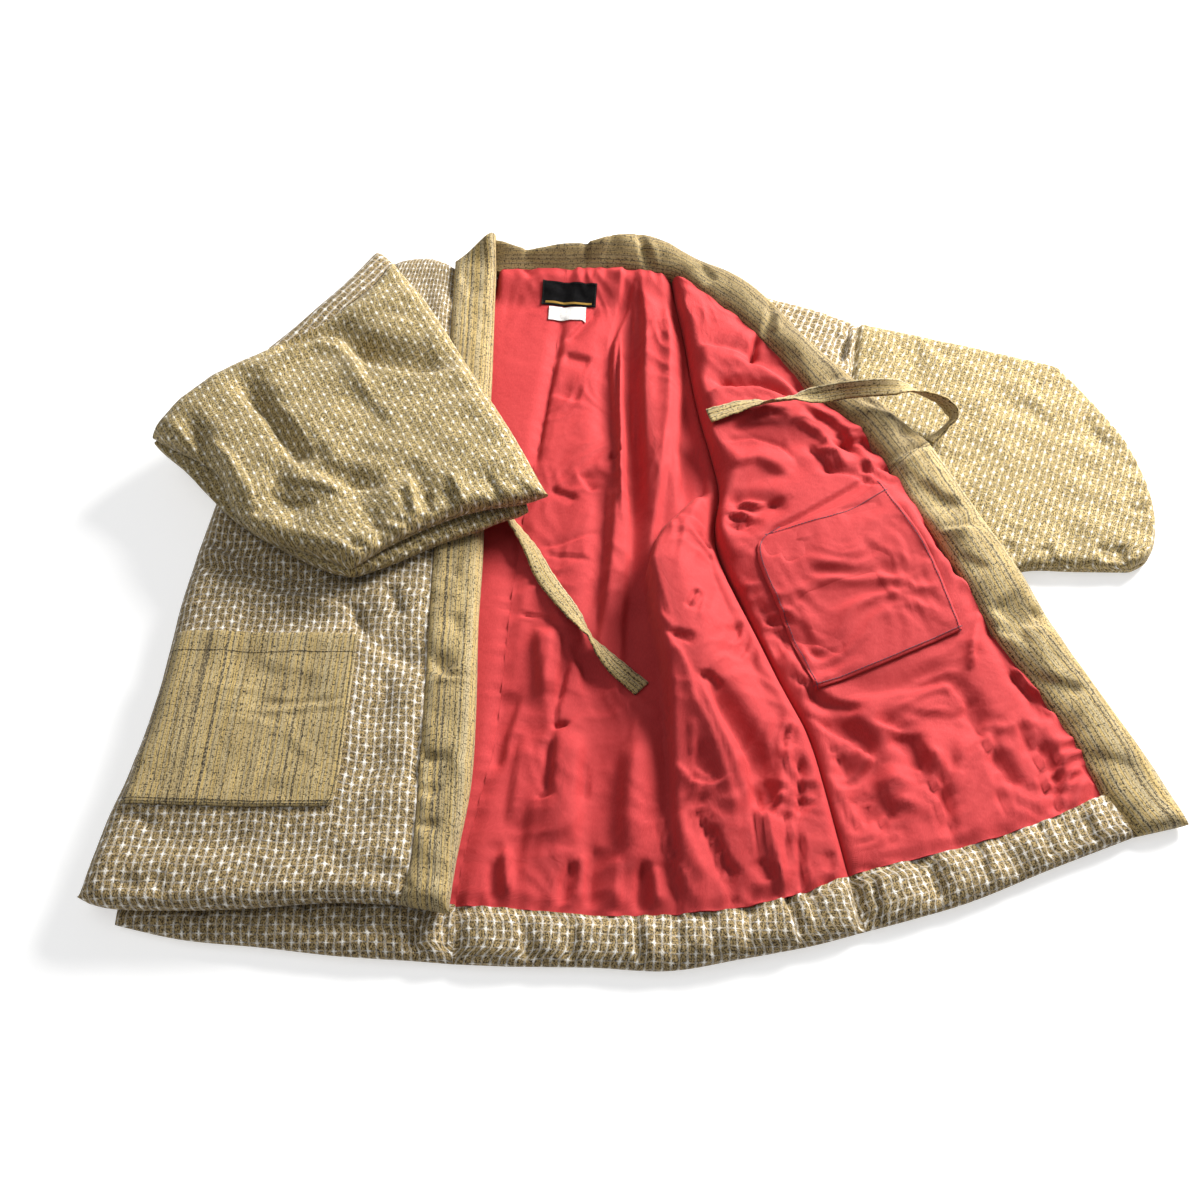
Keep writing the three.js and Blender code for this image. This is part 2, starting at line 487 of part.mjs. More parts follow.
collar('collar_open_lower', lowerInner, matched(COLLAR_EDGE_OPEN, lowerInner),
  { left: { dent: 2, over: 10 }, right: { round: 12, seat: 9, under: 6 } }, neckEnd);

// Sleeve folded over the closed front; sag lets it down past the collar and past the side
const sag = (x) => 12 * ease((x + 112) / 50) + 16 * ease((-405 - x) / 50);
const part = (x) => LAY_GAP + 2.2 * (ease((x + 150) / 30) + ease((-365 - x) / 30));
const acrossCuff = { tail: [16, 6] };
panel('sleeve_closed_lower', SLEEVE_CHECK, {
  near: stations(FOLDED_LOWER.near, 8, acrossCuff), far: stations(FOLDED_LOWER.far, 8, acrossCuff),
  left: stations(FOLDED_LOWER.turn, 6, { marks: [6], tail: [8] }),
  right: stations(FOLDED_LOWER.cuff, 6, { marks: [6], tail: [8] }) },
{ upper: (x) => FOLDED_SPLIT - part(x) - 0.7 * sag(x), lower: (x) => FOLDED_BASE - sag(x),
  edges: { near: { seat: (x) => 56 - 0.8 * sag(x), under: 12 },
    far: { seat: (x) => 56 - 0.8 * sag(x), under: 16 },
    left: { seat: (x) => 56 - 0.8 * sag(x), under: 14 },
    right: { round: 10, seat: (x) => 52 - 0.8 * sag(x), under: 8 } } });
const upperSeat = (x) => FOLDED_SPLIT + 2 - 0.7 * sag(x);
const upperStack = (x, y) => FOLDED_TOP - 0.3 * sag(x) + foldHeight(SLEEVE_FOLDS, x, y);
const armholeClosed = stations(FOLDED_UPPER.armhole, 4);
panel('sleeve_closed_upper', SLEEVE_CHECK, {
  near: stations(FOLDED_UPPER.near, 10, acrossCuff), far: stations(FOLDED_UPPER.far, 10, acrossCuff),
  left: joined(stations(FOLDED_UPPER.turn, 5, { marks: [6] }), armholeClosed),
  right: stations(FOLDED_UPPER.cuff, 8, { marks: [6], tail: [8] }) },
{ upper: upperStack, lower: (x) => FOLDED_SPLIT - 0.7 * sag(x),
  edges: { near: { round: 16, seat: upperSeat }, far: { round: 22, seat: upperSeat },
    left: { round: 14, seat: (x, y) => upperSeat(x) + 12 * ease((y - 262) / 30) },
    right: { round: 12, seat: (x) => 69 - 0.5 * sag(x), under: 7 } } });
panel('shoulder_closed_flap', CHECK, {
  near: stations(table('x y', [[-354, 279], [-351, 275]]), 2),
  far: stations(table('x y', [[-248, 422], [-237, 412]]), 2),
  left: stations(FOLDED_UPPER.flap, 4), right: armholeClosed },
{ upper: (x, y) => mix(70, FOLDED_TOP - 4, ease((y - 280) / 60)), lower: () => FOLDED_SPLIT,
  edges: { left: { round: 14, seat: FOLDED_SPLIT + 4 }, far: { round: 12, seat: FOLDED_SPLIT + 4 } } });

// Open side: the shoulder and the sleeve lie under the flipped front
const armholeOpen = stations(ARMHOLE, 4);
const sleeveSides = {
  near: stations(OPEN_SLEEVE.near, 7, acrossCuff), far: stations(OPEN_SLEEVE.far, 7, acrossCuff),
  left: joined(stations(OPEN_SLEEVE.under, 4, { marks: [8] }), armholeOpen),
  right: stations(OPEN_SLEEVE.cuff, 8, { marks: [8] }) };
const sleeveStack = (x, y) => SLEEVE_TOP + foldHeight(OPEN_SLEEVE_FOLDS, x, y);
panel('sleeve_open_lower', SLEEVE_CHECK, sleeveSides, { upper: () => SLEEVE_SPLIT - SEAM_GAP,
  edges: { near: { seat: 9, under: 8 }, far: { seat: 9, under: 9 },
    right: { round: 5, seat: 7, under: 6 } } });
panel('sleeve_open_upper', SLEEVE_CHECK, sleeveSides, { upper: sleeveStack,
  lower: () => SLEEVE_SPLIT + SEAM_GAP,
  edges: { near: { round: 12, seat: 12.5 }, far: { round: 14, seat: 12.5 }, left: { dent: 2, over: 8 },
    right: { round: 9, seat: 15, under: 4 } } });
panel('shoulder_open', CHECK, {
  near: stations(SHOULDER.near, 5), far: stations(SHOULDER.far, 5),
  left: stations(SHOULDER.left, 4), right: armholeOpen },
{ upper: () => SLEEVE_TOP, edges: { far: { round: 14, seat: 10, under: 8 },
  right: { dent: 2, over: 8 } } });

// A flat piece sewn on a panel: its faces are the panel's own, moved out
function patch(name, cloth, sides, hosts, lift, wall) {
  const faces = hosts.map(faceOf);
  const height = (x, y) => Math.max(
    ...faces.flatMap((face) => [face(x, y), face(x - 1, y), face(x + 1, y)]));
  panel(name, cloth, sides, { upper: (x, y) => height(x, y) + lift + wall, wall });
}
function pocket(name, cloth, { near, far, left, right }, host, lift) {
  const across = { marks: [5, 12] };
  patch(name, cloth, { near: stations(near, 6, across), far: stations(far, 6, across),
    left: stations(left, 8), right: stations(right, 8) }, [host], lift, POCKET_WALL);
}
pocket('pocket_outer', STRIPE, OUTER_POCKET, frontClosed, LAY_GAP);
pocket('pocket_inner', RED, INNER_POCKET, liningFrontOpen, 1.6);

function label(name, cloth, { x, y, width, depth, turn }, lift) {
  const angle = THREE.MathUtils.degToRad(turn);
  const corner = (sx, sy) => [
    x + sx * width / 2 * Math.cos(angle) - sy * depth / 2 * Math.sin(angle),
    y + sx * width / 2 * Math.sin(angle) + sy * depth / 2 * Math.cos(angle)];
  const side = (a, b, n) => stations(table('x y', [corner(...a), corner(...b)]), n);
  patch(name, cloth, { near: side([-1, -1], [1, -1], 4), far: side([-1, 1], [1, 1], 4),
    left: side([-1, -1], [-1, 1], 2), right: side([1, -1], [1, 1], 2) },
  [liningBackClosed, liningBackOpen], lift, LABEL_WALL);
}
label('label_neck', BLACK, NECK_LABEL, 0.7);
label('label_care', WHITE, CARE_LABEL, 0.7);

// A tie: a flat strip along its centre line, turned about it by its lean and kept above the lining
function tie(name, rows, steps, clear) {
  const faces = [liningBackClosed, liningBackOpen, liningFrontOpen].map(faceOf);
  const floor = ({ x, y, lean }) => {
    const spots = [-10, 0, 10].flatMap((dx) => [-10, 0, 10].map((dy) => [x + dx, y + dy]));
    return Math.max(...spots.flatMap(([a, b]) => faces.map((face) => face(a, b)))) + clear
      + (TIE_WALL + TIE_WIDTH * Math.sin(THREE.MathUtils.degToRad(Math.abs(lean)))) / 2;
  };
  const line = new THREE.CatmullRomCurve3(
    rows.map((r) => new THREE.Vector3(r.x, r.y, Math.max(r.z, floor(r)))), false, 'centripetal');
  const positions = [];
  const index = [];
  for (let k = 0; k <= steps; k += 1) {
    const t = k / steps;
    const at = line.getPoint(t);
    const ahead = line.getTangent(t);
    const spot = t * (rows.length - 1);
    const row = Math.min(Math.floor(spot), rows.length - 2);
    const lean = THREE.MathUtils.degToRad(mix(rows[row].lean, rows[row + 1].lean, spot - row));
    const side = new THREE.Vector3(0, 0, 1).cross(ahead).normalize().applyAxisAngle(ahead, lean);
    const out = ahead.clone().cross(side).normalize();
    for (const [a, b] of [[-1, -1], [1, -1], [1, 1], [-1, 1]]) {
      const p = at.clone().addScaledVector(side, a * TIE_WIDTH / 2).addScaledVector(out, b * TIE_WALL / 2);
      positions.push(p.x, p.y, p.z);
    }
    if (!k) continue;
    const [a, b] = [4 * (k - 1), 4 * k];
    for (let n = 0; n < 4; n += 1) {
      const m = (n + 1) % 4;
      index.push(a + n, a + m, b + m, a + n, b + m, b + n);
    }
  }
  const end = 4 * steps;
  index.push(0, 2, 1, 0, 3, 2, end, end + 1, end + 2, end, end + 2, end + 3);
  const geometry = new THREE.BufferGeometry();
  geometry.setAttribute('position', new THREE.Float32BufferAttribute(positions, 3));
  geometry.setIndex(index);
  add(name, geometry, STRIPE);
}
tie('tie_open_side', TIE_OPEN, 22, 0.9);
tie('tie_closed_side', TIE_CLOSED, 16, 0.2);

jacket.position.set(-MIDDLE.x, -MIDDLE.y, 0);
jacket.updateMatrixWorld(true);
export default jacket;
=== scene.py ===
# Padded hanten jacket laid on its back: cloth, folds, sewing, floor and light around the fixed solids.
# Plan tables are in millimetres, X to the right and Y away from the hem, as the solids were drawn.
import math

import bpy
import numpy as np
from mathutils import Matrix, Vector
from mathutils.bvhtree import BVHTree


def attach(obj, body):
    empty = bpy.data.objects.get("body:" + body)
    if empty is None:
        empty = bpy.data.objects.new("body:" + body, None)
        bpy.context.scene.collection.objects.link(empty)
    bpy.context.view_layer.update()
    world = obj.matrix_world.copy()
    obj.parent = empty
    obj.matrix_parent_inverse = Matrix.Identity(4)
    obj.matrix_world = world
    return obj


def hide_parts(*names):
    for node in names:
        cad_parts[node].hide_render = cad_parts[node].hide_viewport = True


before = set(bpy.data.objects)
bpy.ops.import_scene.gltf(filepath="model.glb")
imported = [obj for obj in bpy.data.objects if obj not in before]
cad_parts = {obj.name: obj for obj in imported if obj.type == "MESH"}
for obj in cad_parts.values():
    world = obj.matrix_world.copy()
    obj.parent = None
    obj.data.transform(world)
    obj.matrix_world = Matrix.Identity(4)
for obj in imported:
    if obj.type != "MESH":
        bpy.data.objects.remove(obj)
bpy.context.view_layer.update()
scene = bpy.context.scene


def table(names, rows):
    """Rows of numbers, as many in each as there are named columns."""
    rows = np.array(rows, float)
    assert rows.shape[1] == len(names.split())
    return rows


# ---- sizes of the laid-out jacket

MIDDLE = (53.6, 49.65)      # middle of the laid-out garment in the plan tables
SEAM_GAP = 0.3              # between two pieces sewn edge to edge
LAY_GAP = 0.8               # between layers that lie on each other
LINING = 2                  # lining cloth
BACK_TOP = 16               # back: outer cloth, wadding and lining
HEM_TOP = 20                # turned-up hem
NECK_RISE = 15              # the lining climbs this much to the collar seam
CLOSED_TOP = 42             # closed front, lying on the back
OPEN_LOW = 18               # open front where it lies on the surface
OPEN_RISE = 19              # and how much higher it lies on the shoulder and the sleeve
SLEEVE_TOP = 22             # open sleeve, two layers
SLEEVE_SPLIT = 10.5         # where its two layers meet
FOLDED_BASE = 43.7          # underside of the folded sleeve
FOLDED_SPLIT = 60           # where its two layers meet
FOLDED_TOP = 82
POCKET_WALL = 1.6
TIE_WIDTH = 19
TIE_WALL = 2.4
LABEL_WALL = 0.8


# Outline and seams of the back and the closed front, from the hem to the neck
SIDE_FOLD = table('x y', [
  [-456, -325], [-446, -261], [-431, -197], [-419, -118], [-412, -16], [-402, 60], [-388, 140],
  [-352, 250], [-295, 345], [-243, 440]])
BACK_SIDE = table('x y', [
  [-424, -326], [-414, -261], [-399, -197], [-387, -118], [-380, -16], [-370, 60], [-356, 140],
  [-320, 245], [-263, 338], [-216, 426]])
BAND_SEAM = table('x y', [
  [-173, -333], [-166, -298], [-164, -220], [-164, -138], [-165, -50], [-166, 20], [-166, 120],
  [-165, 250], [-165, 340], [-165, 434]])
FREE_EDGE = table('x y', [
  [-131, -341], [-127, -296], [-117, -218], [-116, -136], [-118, -48], [-117, 23], [-118, 140],
  [-117, 260], [-118, 357], [-119, 464]])
CENTRE_BACK = table('x y', [
  [-127, -328], [-122, -287], [-111, -232], [-99, -168], [-87, 5], [-75, 120], [-59, 227],
  [-47, 345], [-38, 434]])
# The open side's seam, then the dark crevice beside the flipped front
SIDE_SEAM = table('x y', [
  [221, -300], [214, -258], [206, -210], [196, -160], [176, -110], [155, -55], [136, -5], [121, 40],
  [118, 80], [124, 123], [117, 177], [109, 218], [101, 273], [94, 338], [82, 424]])

# Hem edge and the upper edge of the turn-up, left to right
HEM_CLOSED = table('x y', [
  [-424, -344], [-365, -357], [-295, -364], [-225, -372], [-164, -376], [-127, -379]])
HEM_BACK = table('x y', [
  [-127, -379], [-79, -381], [-8, -382], [60, -385], [119, -375], [183, -363], [232, -350]])
HEM_OPEN = table('x y', [[232, -350], [280, -337], [326, -323], [405, -291], [483, -261]])
TURN_CLOSED = table('x y', [[-424, -326], [-300, -327], [-127, -328]])
TURN_BACK = table('x y', [
  [-127, -328], [-71, -332], [0, -338], [71, -337], [118, -333], [181, -317], [221, -300]])
TURN_OPEN = table('x y', [[221, -300], [290, -283], [354, -265], [410, -245], [461, -221]])
FRONT_HEM = table('x y', [
  [-456, -325], [-432, -335], [-370, -338], [-301, -336], [-233, -331], [-173, -333]])

# Collar: its seam to the lining and its outer edge, from the left peak round to the hem
NECK_SEAM_CLOSED = table('x y', [[-117, 431], [-86, 434], [-38, 434]])
NECK_SEAM_BACK = table('x y', [[-38, 434], [-14, 436], [39, 433], [82, 424]])
NECK_SEAM_FRONT = table('x y', [
  [95, 417], [117, 394], [155, 354], [194, 301], [240, 230], [271, 199], [302, 141]])
BAND_SEAM_OPEN = table('x y', [[302, 141], [326, 84], [354, 25], [387, -57], [421, -116],
  [445, -167], [461, -221]])
BAND_SEAM_HEM = table('x y', [[461, -221], [483, -261]])
COLLAR_EDGE_NECK = table('x y', [
  [-117, 463], [-80, 457], [-46, 462], [-9, 467], [22, 476], [50, 484], [80, 472]])
COLLAR_EDGE_FRONT = table('x y', [
  [80, 472], [97, 462], [155, 421], [190, 381], [228, 321], [271, 267], [302, 228], [346, 175]])
COLLAR_EDGE_OPEN = table('x y', [
  [346, 175], [372, 113], [400, 54], [441, -35], [479, -116], [510, -185], [535, -249]])

# Height of the collar along its length: along runs from 0 at the left peak to 1 at the hem
COLLAR_LIE = table('along crest under', [
  [0.00, 44, 0], [0.08, 41, 0], [0.20, 38, 0], [0.25, 38, 6], [0.29, 40, 22.8], [0.40, 42, 22.8],
  [0.64, 41, 22.8], [0.735, 34, 21.5], [0.79, 28, 1], [0.86, 22.5, 0], [1.00, 20, 0]])

# The big soft ridge of the back beside the side seam, one row for each section across it
RIDGE = table('y left crest right height', [
  [-320, 72, 132, 224, 7], [-250, 68, 122, 213, 14], [-200, 66, 114, 205, 22],
  [-150, 65, 106, 192, 30], [-100, 62, 94, 171, 38], [-50, 54, 80, 153, 44], [10, 48, 72, 129, 46],
  [60, 60, 84, 117, 38], [100, 88, 102, 119, 22], [124, 108, 115, 123, 6], [150, 110, 114, 119, 0]])

# Folds: a ridge where height is above nought, a trough where it is below
FOLD = 'x1 y1 x2 y2 width height'
BACK_FOLDS = table(FOLD, [
  [84, 415, 74, 70, 12, 9], [61, 400, 50, 75, 9, -1], [35, 392, 35, 75, 8, -7],
  [12, 380, 14, 40, 14, 3], [-12, 250, -30, -120, 16, 3], [-4, 40, 4, -300, 18, -4],
  [-62, -60, -80, -300, 14, -4], [32, -140, 36, -330, 16, 3], [-40, -100, -44, -320, 14, 3]])
HEM_FOLDS = table(FOLD, [
  [-158, -390, -166, -320, 8, -5], [-127, -396, -124, -312, 8, -5], [-58, -396, -60, -316, 12, -3],
  [2, -398, 4, -316, 12, -3], [76, -398, 74, -318, 12, -4], [142, -386, 132, -312, 12, -4],
  [188, -376, 180, -300, 9, -4], [238, -362, 220, -285, 8, -5], [300, -345, 282, -270, 12, -4],
  [376, -316, 352, -250, 12, -4], [432, -292, 408, -232, 10, -3]])
OPEN_FOLDS = table(FOLD, [
  [104, 306, 206, 296, 14, -4], [108, 262, 236, 236, 14, -4], [118, 160, 250, 182, 15, -5],
  [128, 112, 226, 150, 14, -4], [158, -20, 262, -150, 16, -6], [176, -64, 300, -176, 15, 5],
  [206, -120, 262, -270, 12, -6], [232, -120, 292, -256, 12, 5], [262, -120, 330, -250, 13, -5],
  [318, -110, 396, -220, 14, -4], [362, -20, 430, -150, 13, -3]])
CLOSED_FOLDS = table(FOLD, [
  [-400, -20, -200, 8, 15, -4], [-390, 24, -230, -36, 14, 2.5], [-330, -52, -190, -44, 13, -3],
  [-200, -60, -214, -300, 15, -3], [-440, -282, -200, -280, 18, -4], [-190, 250, -200, 430, 12, -4]])
SLEEVE_FOLDS = table(FOLD, [
  [-352, 262, -130, 262, 18, -7], [-392, 238, -262, 96, 15, -8], [-430, 190, -378, 70, 12, -7],
  [-364, 228, -240, 84, 14, 6], [-262, 120, -214, 22, 14, -6], [-330, 120, -290, 20, 14, -5],
  [-196, 120, -160, 50, 12, -4]])
OPEN_SLEEVE_FOLDS = table(FOLD, [
  [330, 330, 420, 120, 22, -2], [540, 220, 470, 80, 24, -2], [480, 40, 440, 120, 18, -2]])

# Sleeve folded over the closed front
FOLDED_LOWER = dict(
  near=table('x y', [[-463, 165], [-429, 130], [-399, 95], [-358, 54], [-305, 19], [-267, -1],
    [-242, -7]]),
  cuff=table('x y', [[-242, -7], [-202, 10], [-158, 33], [-116, 51], [-96, 63], [-72, 77]]),
  far=table('x y', [[-246, 410], [-195, 342], [-153, 265], [-118, 201], [-90, 140], [-72, 77]]),
  turn=table('x y', [[-463, 165], [-445, 190], [-407, 226], [-352, 268], [-315, 312], [-281, 357],
    [-246, 410]]))
FOLDED_UPPER = dict(
  near=table('x y', [[-464, 168], [-428, 142], [-385, 108], [-363, 64], [-332, 32], [-293, 17],
    [-266, 6], [-238, -6]]),
  cuff=table('x y', [[-238, -6], [-201, 22], [-142, 54], [-84, 72], [-52, 86]]),
  far=table('x y', [[-228, 399], [-191, 347], [-149, 270], [-114, 206], [-81, 146], [-52, 86]]),
  turn=table('x y', [[-464, 168], [-445, 197], [-407, 235], [-351, 275]]),
  armhole=table('x y', [[-351, 275], [-309, 297], [-277, 326], [-248, 360], [-228, 399]]),
  flap=table('x y', [[-354, 279], [-315, 325], [-281, 370], [-248, 422]]))

# Sleeve and shoulder of the open side
ARMHOLE = table('x y', [[264, 216], [277, 287], [290, 362]])
OPEN_SLEEVE = dict(
  under=table('x y', [[374, 4], [366, 24], [338, 84], [317, 140], [286, 192], [264, 216]]),
  near=table('x y', [[374, 4], [400, 18], [430, 30], [480, 30], [536, 30]]),
  cuff=table('x y', [[536, 30], [555, 42], [569, 80], [571, 129], [562, 180], [543, 226], [503, 296]]),
  far=table('x y', [[290, 362], [373, 338], [440, 317], [503, 296]]))
SHOULDER = dict(
  near=table('x y', [[150, 366], [200, 308], [238, 250], [264, 216]]),
  far=table('x y', [[166, 411], [223, 391], [290, 362]]),
  left=table('x y', [[150, 366], [166, 411]]))

OUTER_POCKET = dict(
  near=table('x y', [[-427, -244], [-330, -247], [-262, -247], [-242, -246]]),
  right=table('x y', [[-242, -246], [-238, -238], [-233, -150], [-231, -66]]),
  far=table('x y', [[-406, -63], [-320, -64], [-231, -66]]),
  left=table('x y', [[-427, -244], [-414, -150], [-406, -63]]))
INNER_POCKET = dict(
  near=table('x y', [[205, -114], [278, -84], [352, -50]]),
  right=table('x y', [[352, -50], [330, 28], [287, 121]]),
  far=table('x y', [[178, 64], [202, 72], [250, 92], [287, 121]]),
  left=table('x y', [[205, -114], [178, -36], [157, 28], [160, 48], [178, 64]]))

# Ties: centre line, and lean, the turn of the strip about that line in degrees
TIE_OPEN = table('x y z lean', [
  [346, 184, 26, -38], [360, 194, 29, -50], [371, 203, 40, -65], [362, 214, 50, -95],
  [335, 223, 57, -128], [303, 229, 59, -208], [262, 227, 58, -232], [232, 222, 55, -205],
  [205, 221, 50, -142], [180, 220, 43, -128], [150, 216, 30, -165], [115, 205, 30, -178]])
TIE_CLOSED = table('x y z lean', [
  [-106, 112, 27, -45], [-92, 84, 24, -58], [-72, 52, 18, -36], [-54, 14, 16, -4], [-30, -26, 16, -20],
  [-10, -58, 16, -66], [14, -86, 16, -10], [40, -112, 16, 0]])
NECK_LABEL = dict(x=-35, y=401, width=62, depth=27, turn=-4)
CARE_LABEL = dict(x=-37, y=376, width=42, depth=20, turn=-2)

# Creases: width, height, sharpness, then the points of their path
RIDGE_CREASES = [
    [4, 3, 1.2, (45, -12), (54, -50), (67, -68), (94, -73)],
    [5, -3, 2, (50, -1), (63, -60)],
    [5, -3, 2, (67, -73), (88, -83)],
    [6, 4, 1.5, (49, -64), (63, -77), (75, -95), (84, -116), (87, -140), (98, -163), (109, -192),
     (114, -211), (122, -238), (121, -261)],
    [4, 3, 1.5, (85, 56), (116, 31)],
    [4, -4, 2, (98, 57), (113, 46)],
    [4, -3, 2, (80, 71), (93, 71), (108, 72)],
    [3, 2, 1.5, (94, -58), (102, -27)],
    [3, -2, 2, (107, -46), (116, -5)],
    [8, -3, 2, (118, -60), (143, -46)],
    [8, -3, 2, (119, -87), (138, -85)],
    [5, -6, 2, (92, -114), (102, -114), (115, -124)],
    [10, -21, 2, (104, -121), (117, -150), (131, -174), (140, -193), (142, -219), (147, -238), (159, -245)],
    [7, 6, 1.6, (93, -125), (107, -162), (122, -194), (128, -224)],
    [6, -4, 2, (91, -178), (90, -202), (103, -213), (112, -213)],
    [4, 4, 1.3, (66, -199), (84, -220), (102, -223), (116, -217)],
    [3, 3, 1.3, (84, -158), (85, -194)],
    [7, -7, 2, (89, -254), (101, -264), (106, -280), (111, -294), (124, -305)],
    [5, -4, 2, (111, -305), (116, -331)],
    [9, 4, 2, (73, -243), (74, -263), (83, -285), (93, -308)],
    [4, 7, 1.2, (147, -227), (149, -252), (153, -277), (158, -298), (161, -324)],
    [6, -5, 2, (142, -287), (153, -307)],
    [3, -7, 1.5, (184, -185), (180, -246)],
    [4, -6, 1.6, (180, -262), (179, -322)],
    [8, 3, 2, (174, -172), (165, -216), (162, -236)],
    [5, -3, 2, (191, -215), (203, -218)],
    [5, -3, 2, (185, -239), (203, -224)],
    [7, -4, 2, (207, -279), (205, -298)],
    [4, 3, 1.3, (57, -279), (69, -311), (79, -335)],
    [7, -4, 2, (36, -294), (38, -335)],
    [2.8, 5.5, 1.3, (149, -292), (143, -250), (140, -214)],
    [4.5, -5, 1.8, (145, -293), (138, -251), (136, -215)],
    [2.8, 5.5, 1.3, (172, -295), (172, -235)],
    [4.5, -5, 1.8, (167, -296), (168, -237)],
    [2.8, 5.5, 1.3, (174, -201), (175, -172), (181, -149)],
    [4.5, -5, 1.8, (170, -203), (170, -174), (177, -151)],
    [2.8, 5.5, 1.3, (77, -310), (61, -277), (56, -246)],
    [4.5, -5, 1.8, (73, -310), (57, -278), (52, -247)],
    [2.8, 5.5, 1.3, (114, -314), (103, -272), (89, -238)],
    [4.5, -5, 1.8, (110, -315), (99, -273), (85, -238)],
    [2.8, 5.5, 1.3, (88, -44), (99, -19)],
    [4.5, -5, 1.8, (83, -46), (94, -23)],
]
BACK_CREASES = [
    [9, -7, 2, (41, 220), (38, 152), (33, 38), (27, -57), (26, -113)],
    [11, 7, 1.6, (70, 220), (64, 152), (53, 75), (46, 1)],
    [8, 5, 2, (30, 248), (21, 152), (13, 38), (5, -34), (0, -74)],
    [6, -4, 2, (6, 139), (1, 38), (-6, -45)],
    [3, -2, 1.4, (-64, 52), (-36, 59), (3, 75)],
    [3, -2, 1.4, (-54, 45), (-7, 38)],
    [3, 2, 1.3, (-80, -32), (-45, -32), (-34, -40)],
    [12, 2, 2, (-50, -43), (-56, -129)],
    [4, -3, 2, (-35, -48), (-39, -124)],
    [3, -2, 1.4, (-45, -149), (-29, -149)],
    [4, -3, 2, (-45, -158), (-51, -223)],
    [8, -3, 2, (-67, -226), (-74, -303)],
    [8, -4, 2, (-29, -57), (-16, -85), (-11, -124)],
    [8, -3, 2, (-92, -266), (-90, -319)],
    [5, -3, 2, (-27, -286), (-31, -318)],
    [6, -3, 2, (-6, -254), (-10, -330)],
    [14, 4, 2, (38, -145), (29, -228), (26, -310)],
    [6, -3, 2, (42, -290), (39, -329)],
    [3, -2, 1.5, (-114, -166), (-107, -161)],
    [4, -2, 2, (-114, -113), (-99, -106)],
    [16, -9, 2, (100, 209), (106, 171), (111, 133), (112, 97)],
    [5, -4, 1.5, (-41, 365), (-47, 317), (-56, 264), (-62, 212), (-67, 160)],
    [5, -4, 2, (-1, 388), (-30, 344), (-40, 335)],
    [9, -8, 2, (37, 424), (27, 388), (18, 362), (10, 332), (8, 297), (10, 236), (14, 171)],
    [3, -4, 1.5, (10, 171), (23, 170)],
    [6, 4, 1.6, (25, 445), (22, 396), (10, 344), (6, 317)],
    [4.5, 8, 1.6, (24, 344), (22, 248), (22, 152), (23, 88)],
    [6, -9, 1.8, (36, 397), (32, 336), (31, 277), (31, 207), (35, 88)],
    [10, 9, 2, (49, 426), (53, 351), (50, 277), (50, 193), (52, 100)],
    [13, 6, 2, (73, 397), (75, 306), (70, 193)],
    [10, -10, 2, (99, 329), (94, 248), (89, 181), (90, 145), (86, 102)],
    [8, -4, 2, (-40, 315), (-10, 306)],
    [9, -3, 2, (-52, 263), (-22, 251)],
    [7, -5, 2, (-102, 413), (-111, 357), (-112, 283)],
    [5, -4, 1.5, (-86, 434), (-79, 421)],
    [3, -4, 1.5, (85, 432), (87, 408)],
    [6, -4, 2, (-20, 147), (-7, 124)],
    [5, -3, 1.5, (-53, 130), (-22, 113)],
    [5, -6, 1.7, (-97, -285), (-95, -324)],
    [5, 5, 1.6, (-84, -273), (-80, -321)],
    [5, -6, 1.7, (-25, -289), (-34, -308), (-34, -328)],
    [5, 4, 1.6, (-15, -278), (-15, -328)],
    [7, -6, 1.8, (-2, -273), (-8, -301), (-11, -332)],
    [6, 4, 1.6, (17, -282), (15, -332)],
    [6, -6, 1.7, (38, -287), (35, -332)],
    [5, -5, 1.7, (58, -285), (68, -308), (80, -332)],
    [5, 5, 1.6, (47, -292), (49, -330)],
    [4, -4, 1.5, (-28, -71), (-35, -103), (-41, -130), (-42, -153)],
    [3, -5, 1.4, (-43, -153), (-30, -150)],
    [5, -5, 1.8, (-45, -166), (-47, -198), (-49, -223)],
    [3, -4, 1.4, (-58, -225), (-43, -224)],
    [3, -3, 1.5, (-13, -188), (-13, -230)],
    [9, -5, 2, (-14, -82), (-5, -119), (0, -140)],
    [8, -7, 2, (-79, -114), (-91, -161), (-96, -196)],
    [10, 5, 2, (-70, -161), (-74, -196), (-79, -254)],
    [16, 6, 2, (-23, -156), (-27, -230), (-28, -273)],
    [12, 5, 2, (27, -171), (24, -230), (22, -278)],
    [3, -4, 1.4, (-79, -25), (-43, -33)],
    [14, 6, 2, (-57, -40), (-54, -82), (-51, -119)],
    [3, -3, 1.4, (-111, -166), (-102, -170)],
    [3, -3, 1.4, (-129, -119), (-106, -114)],
]
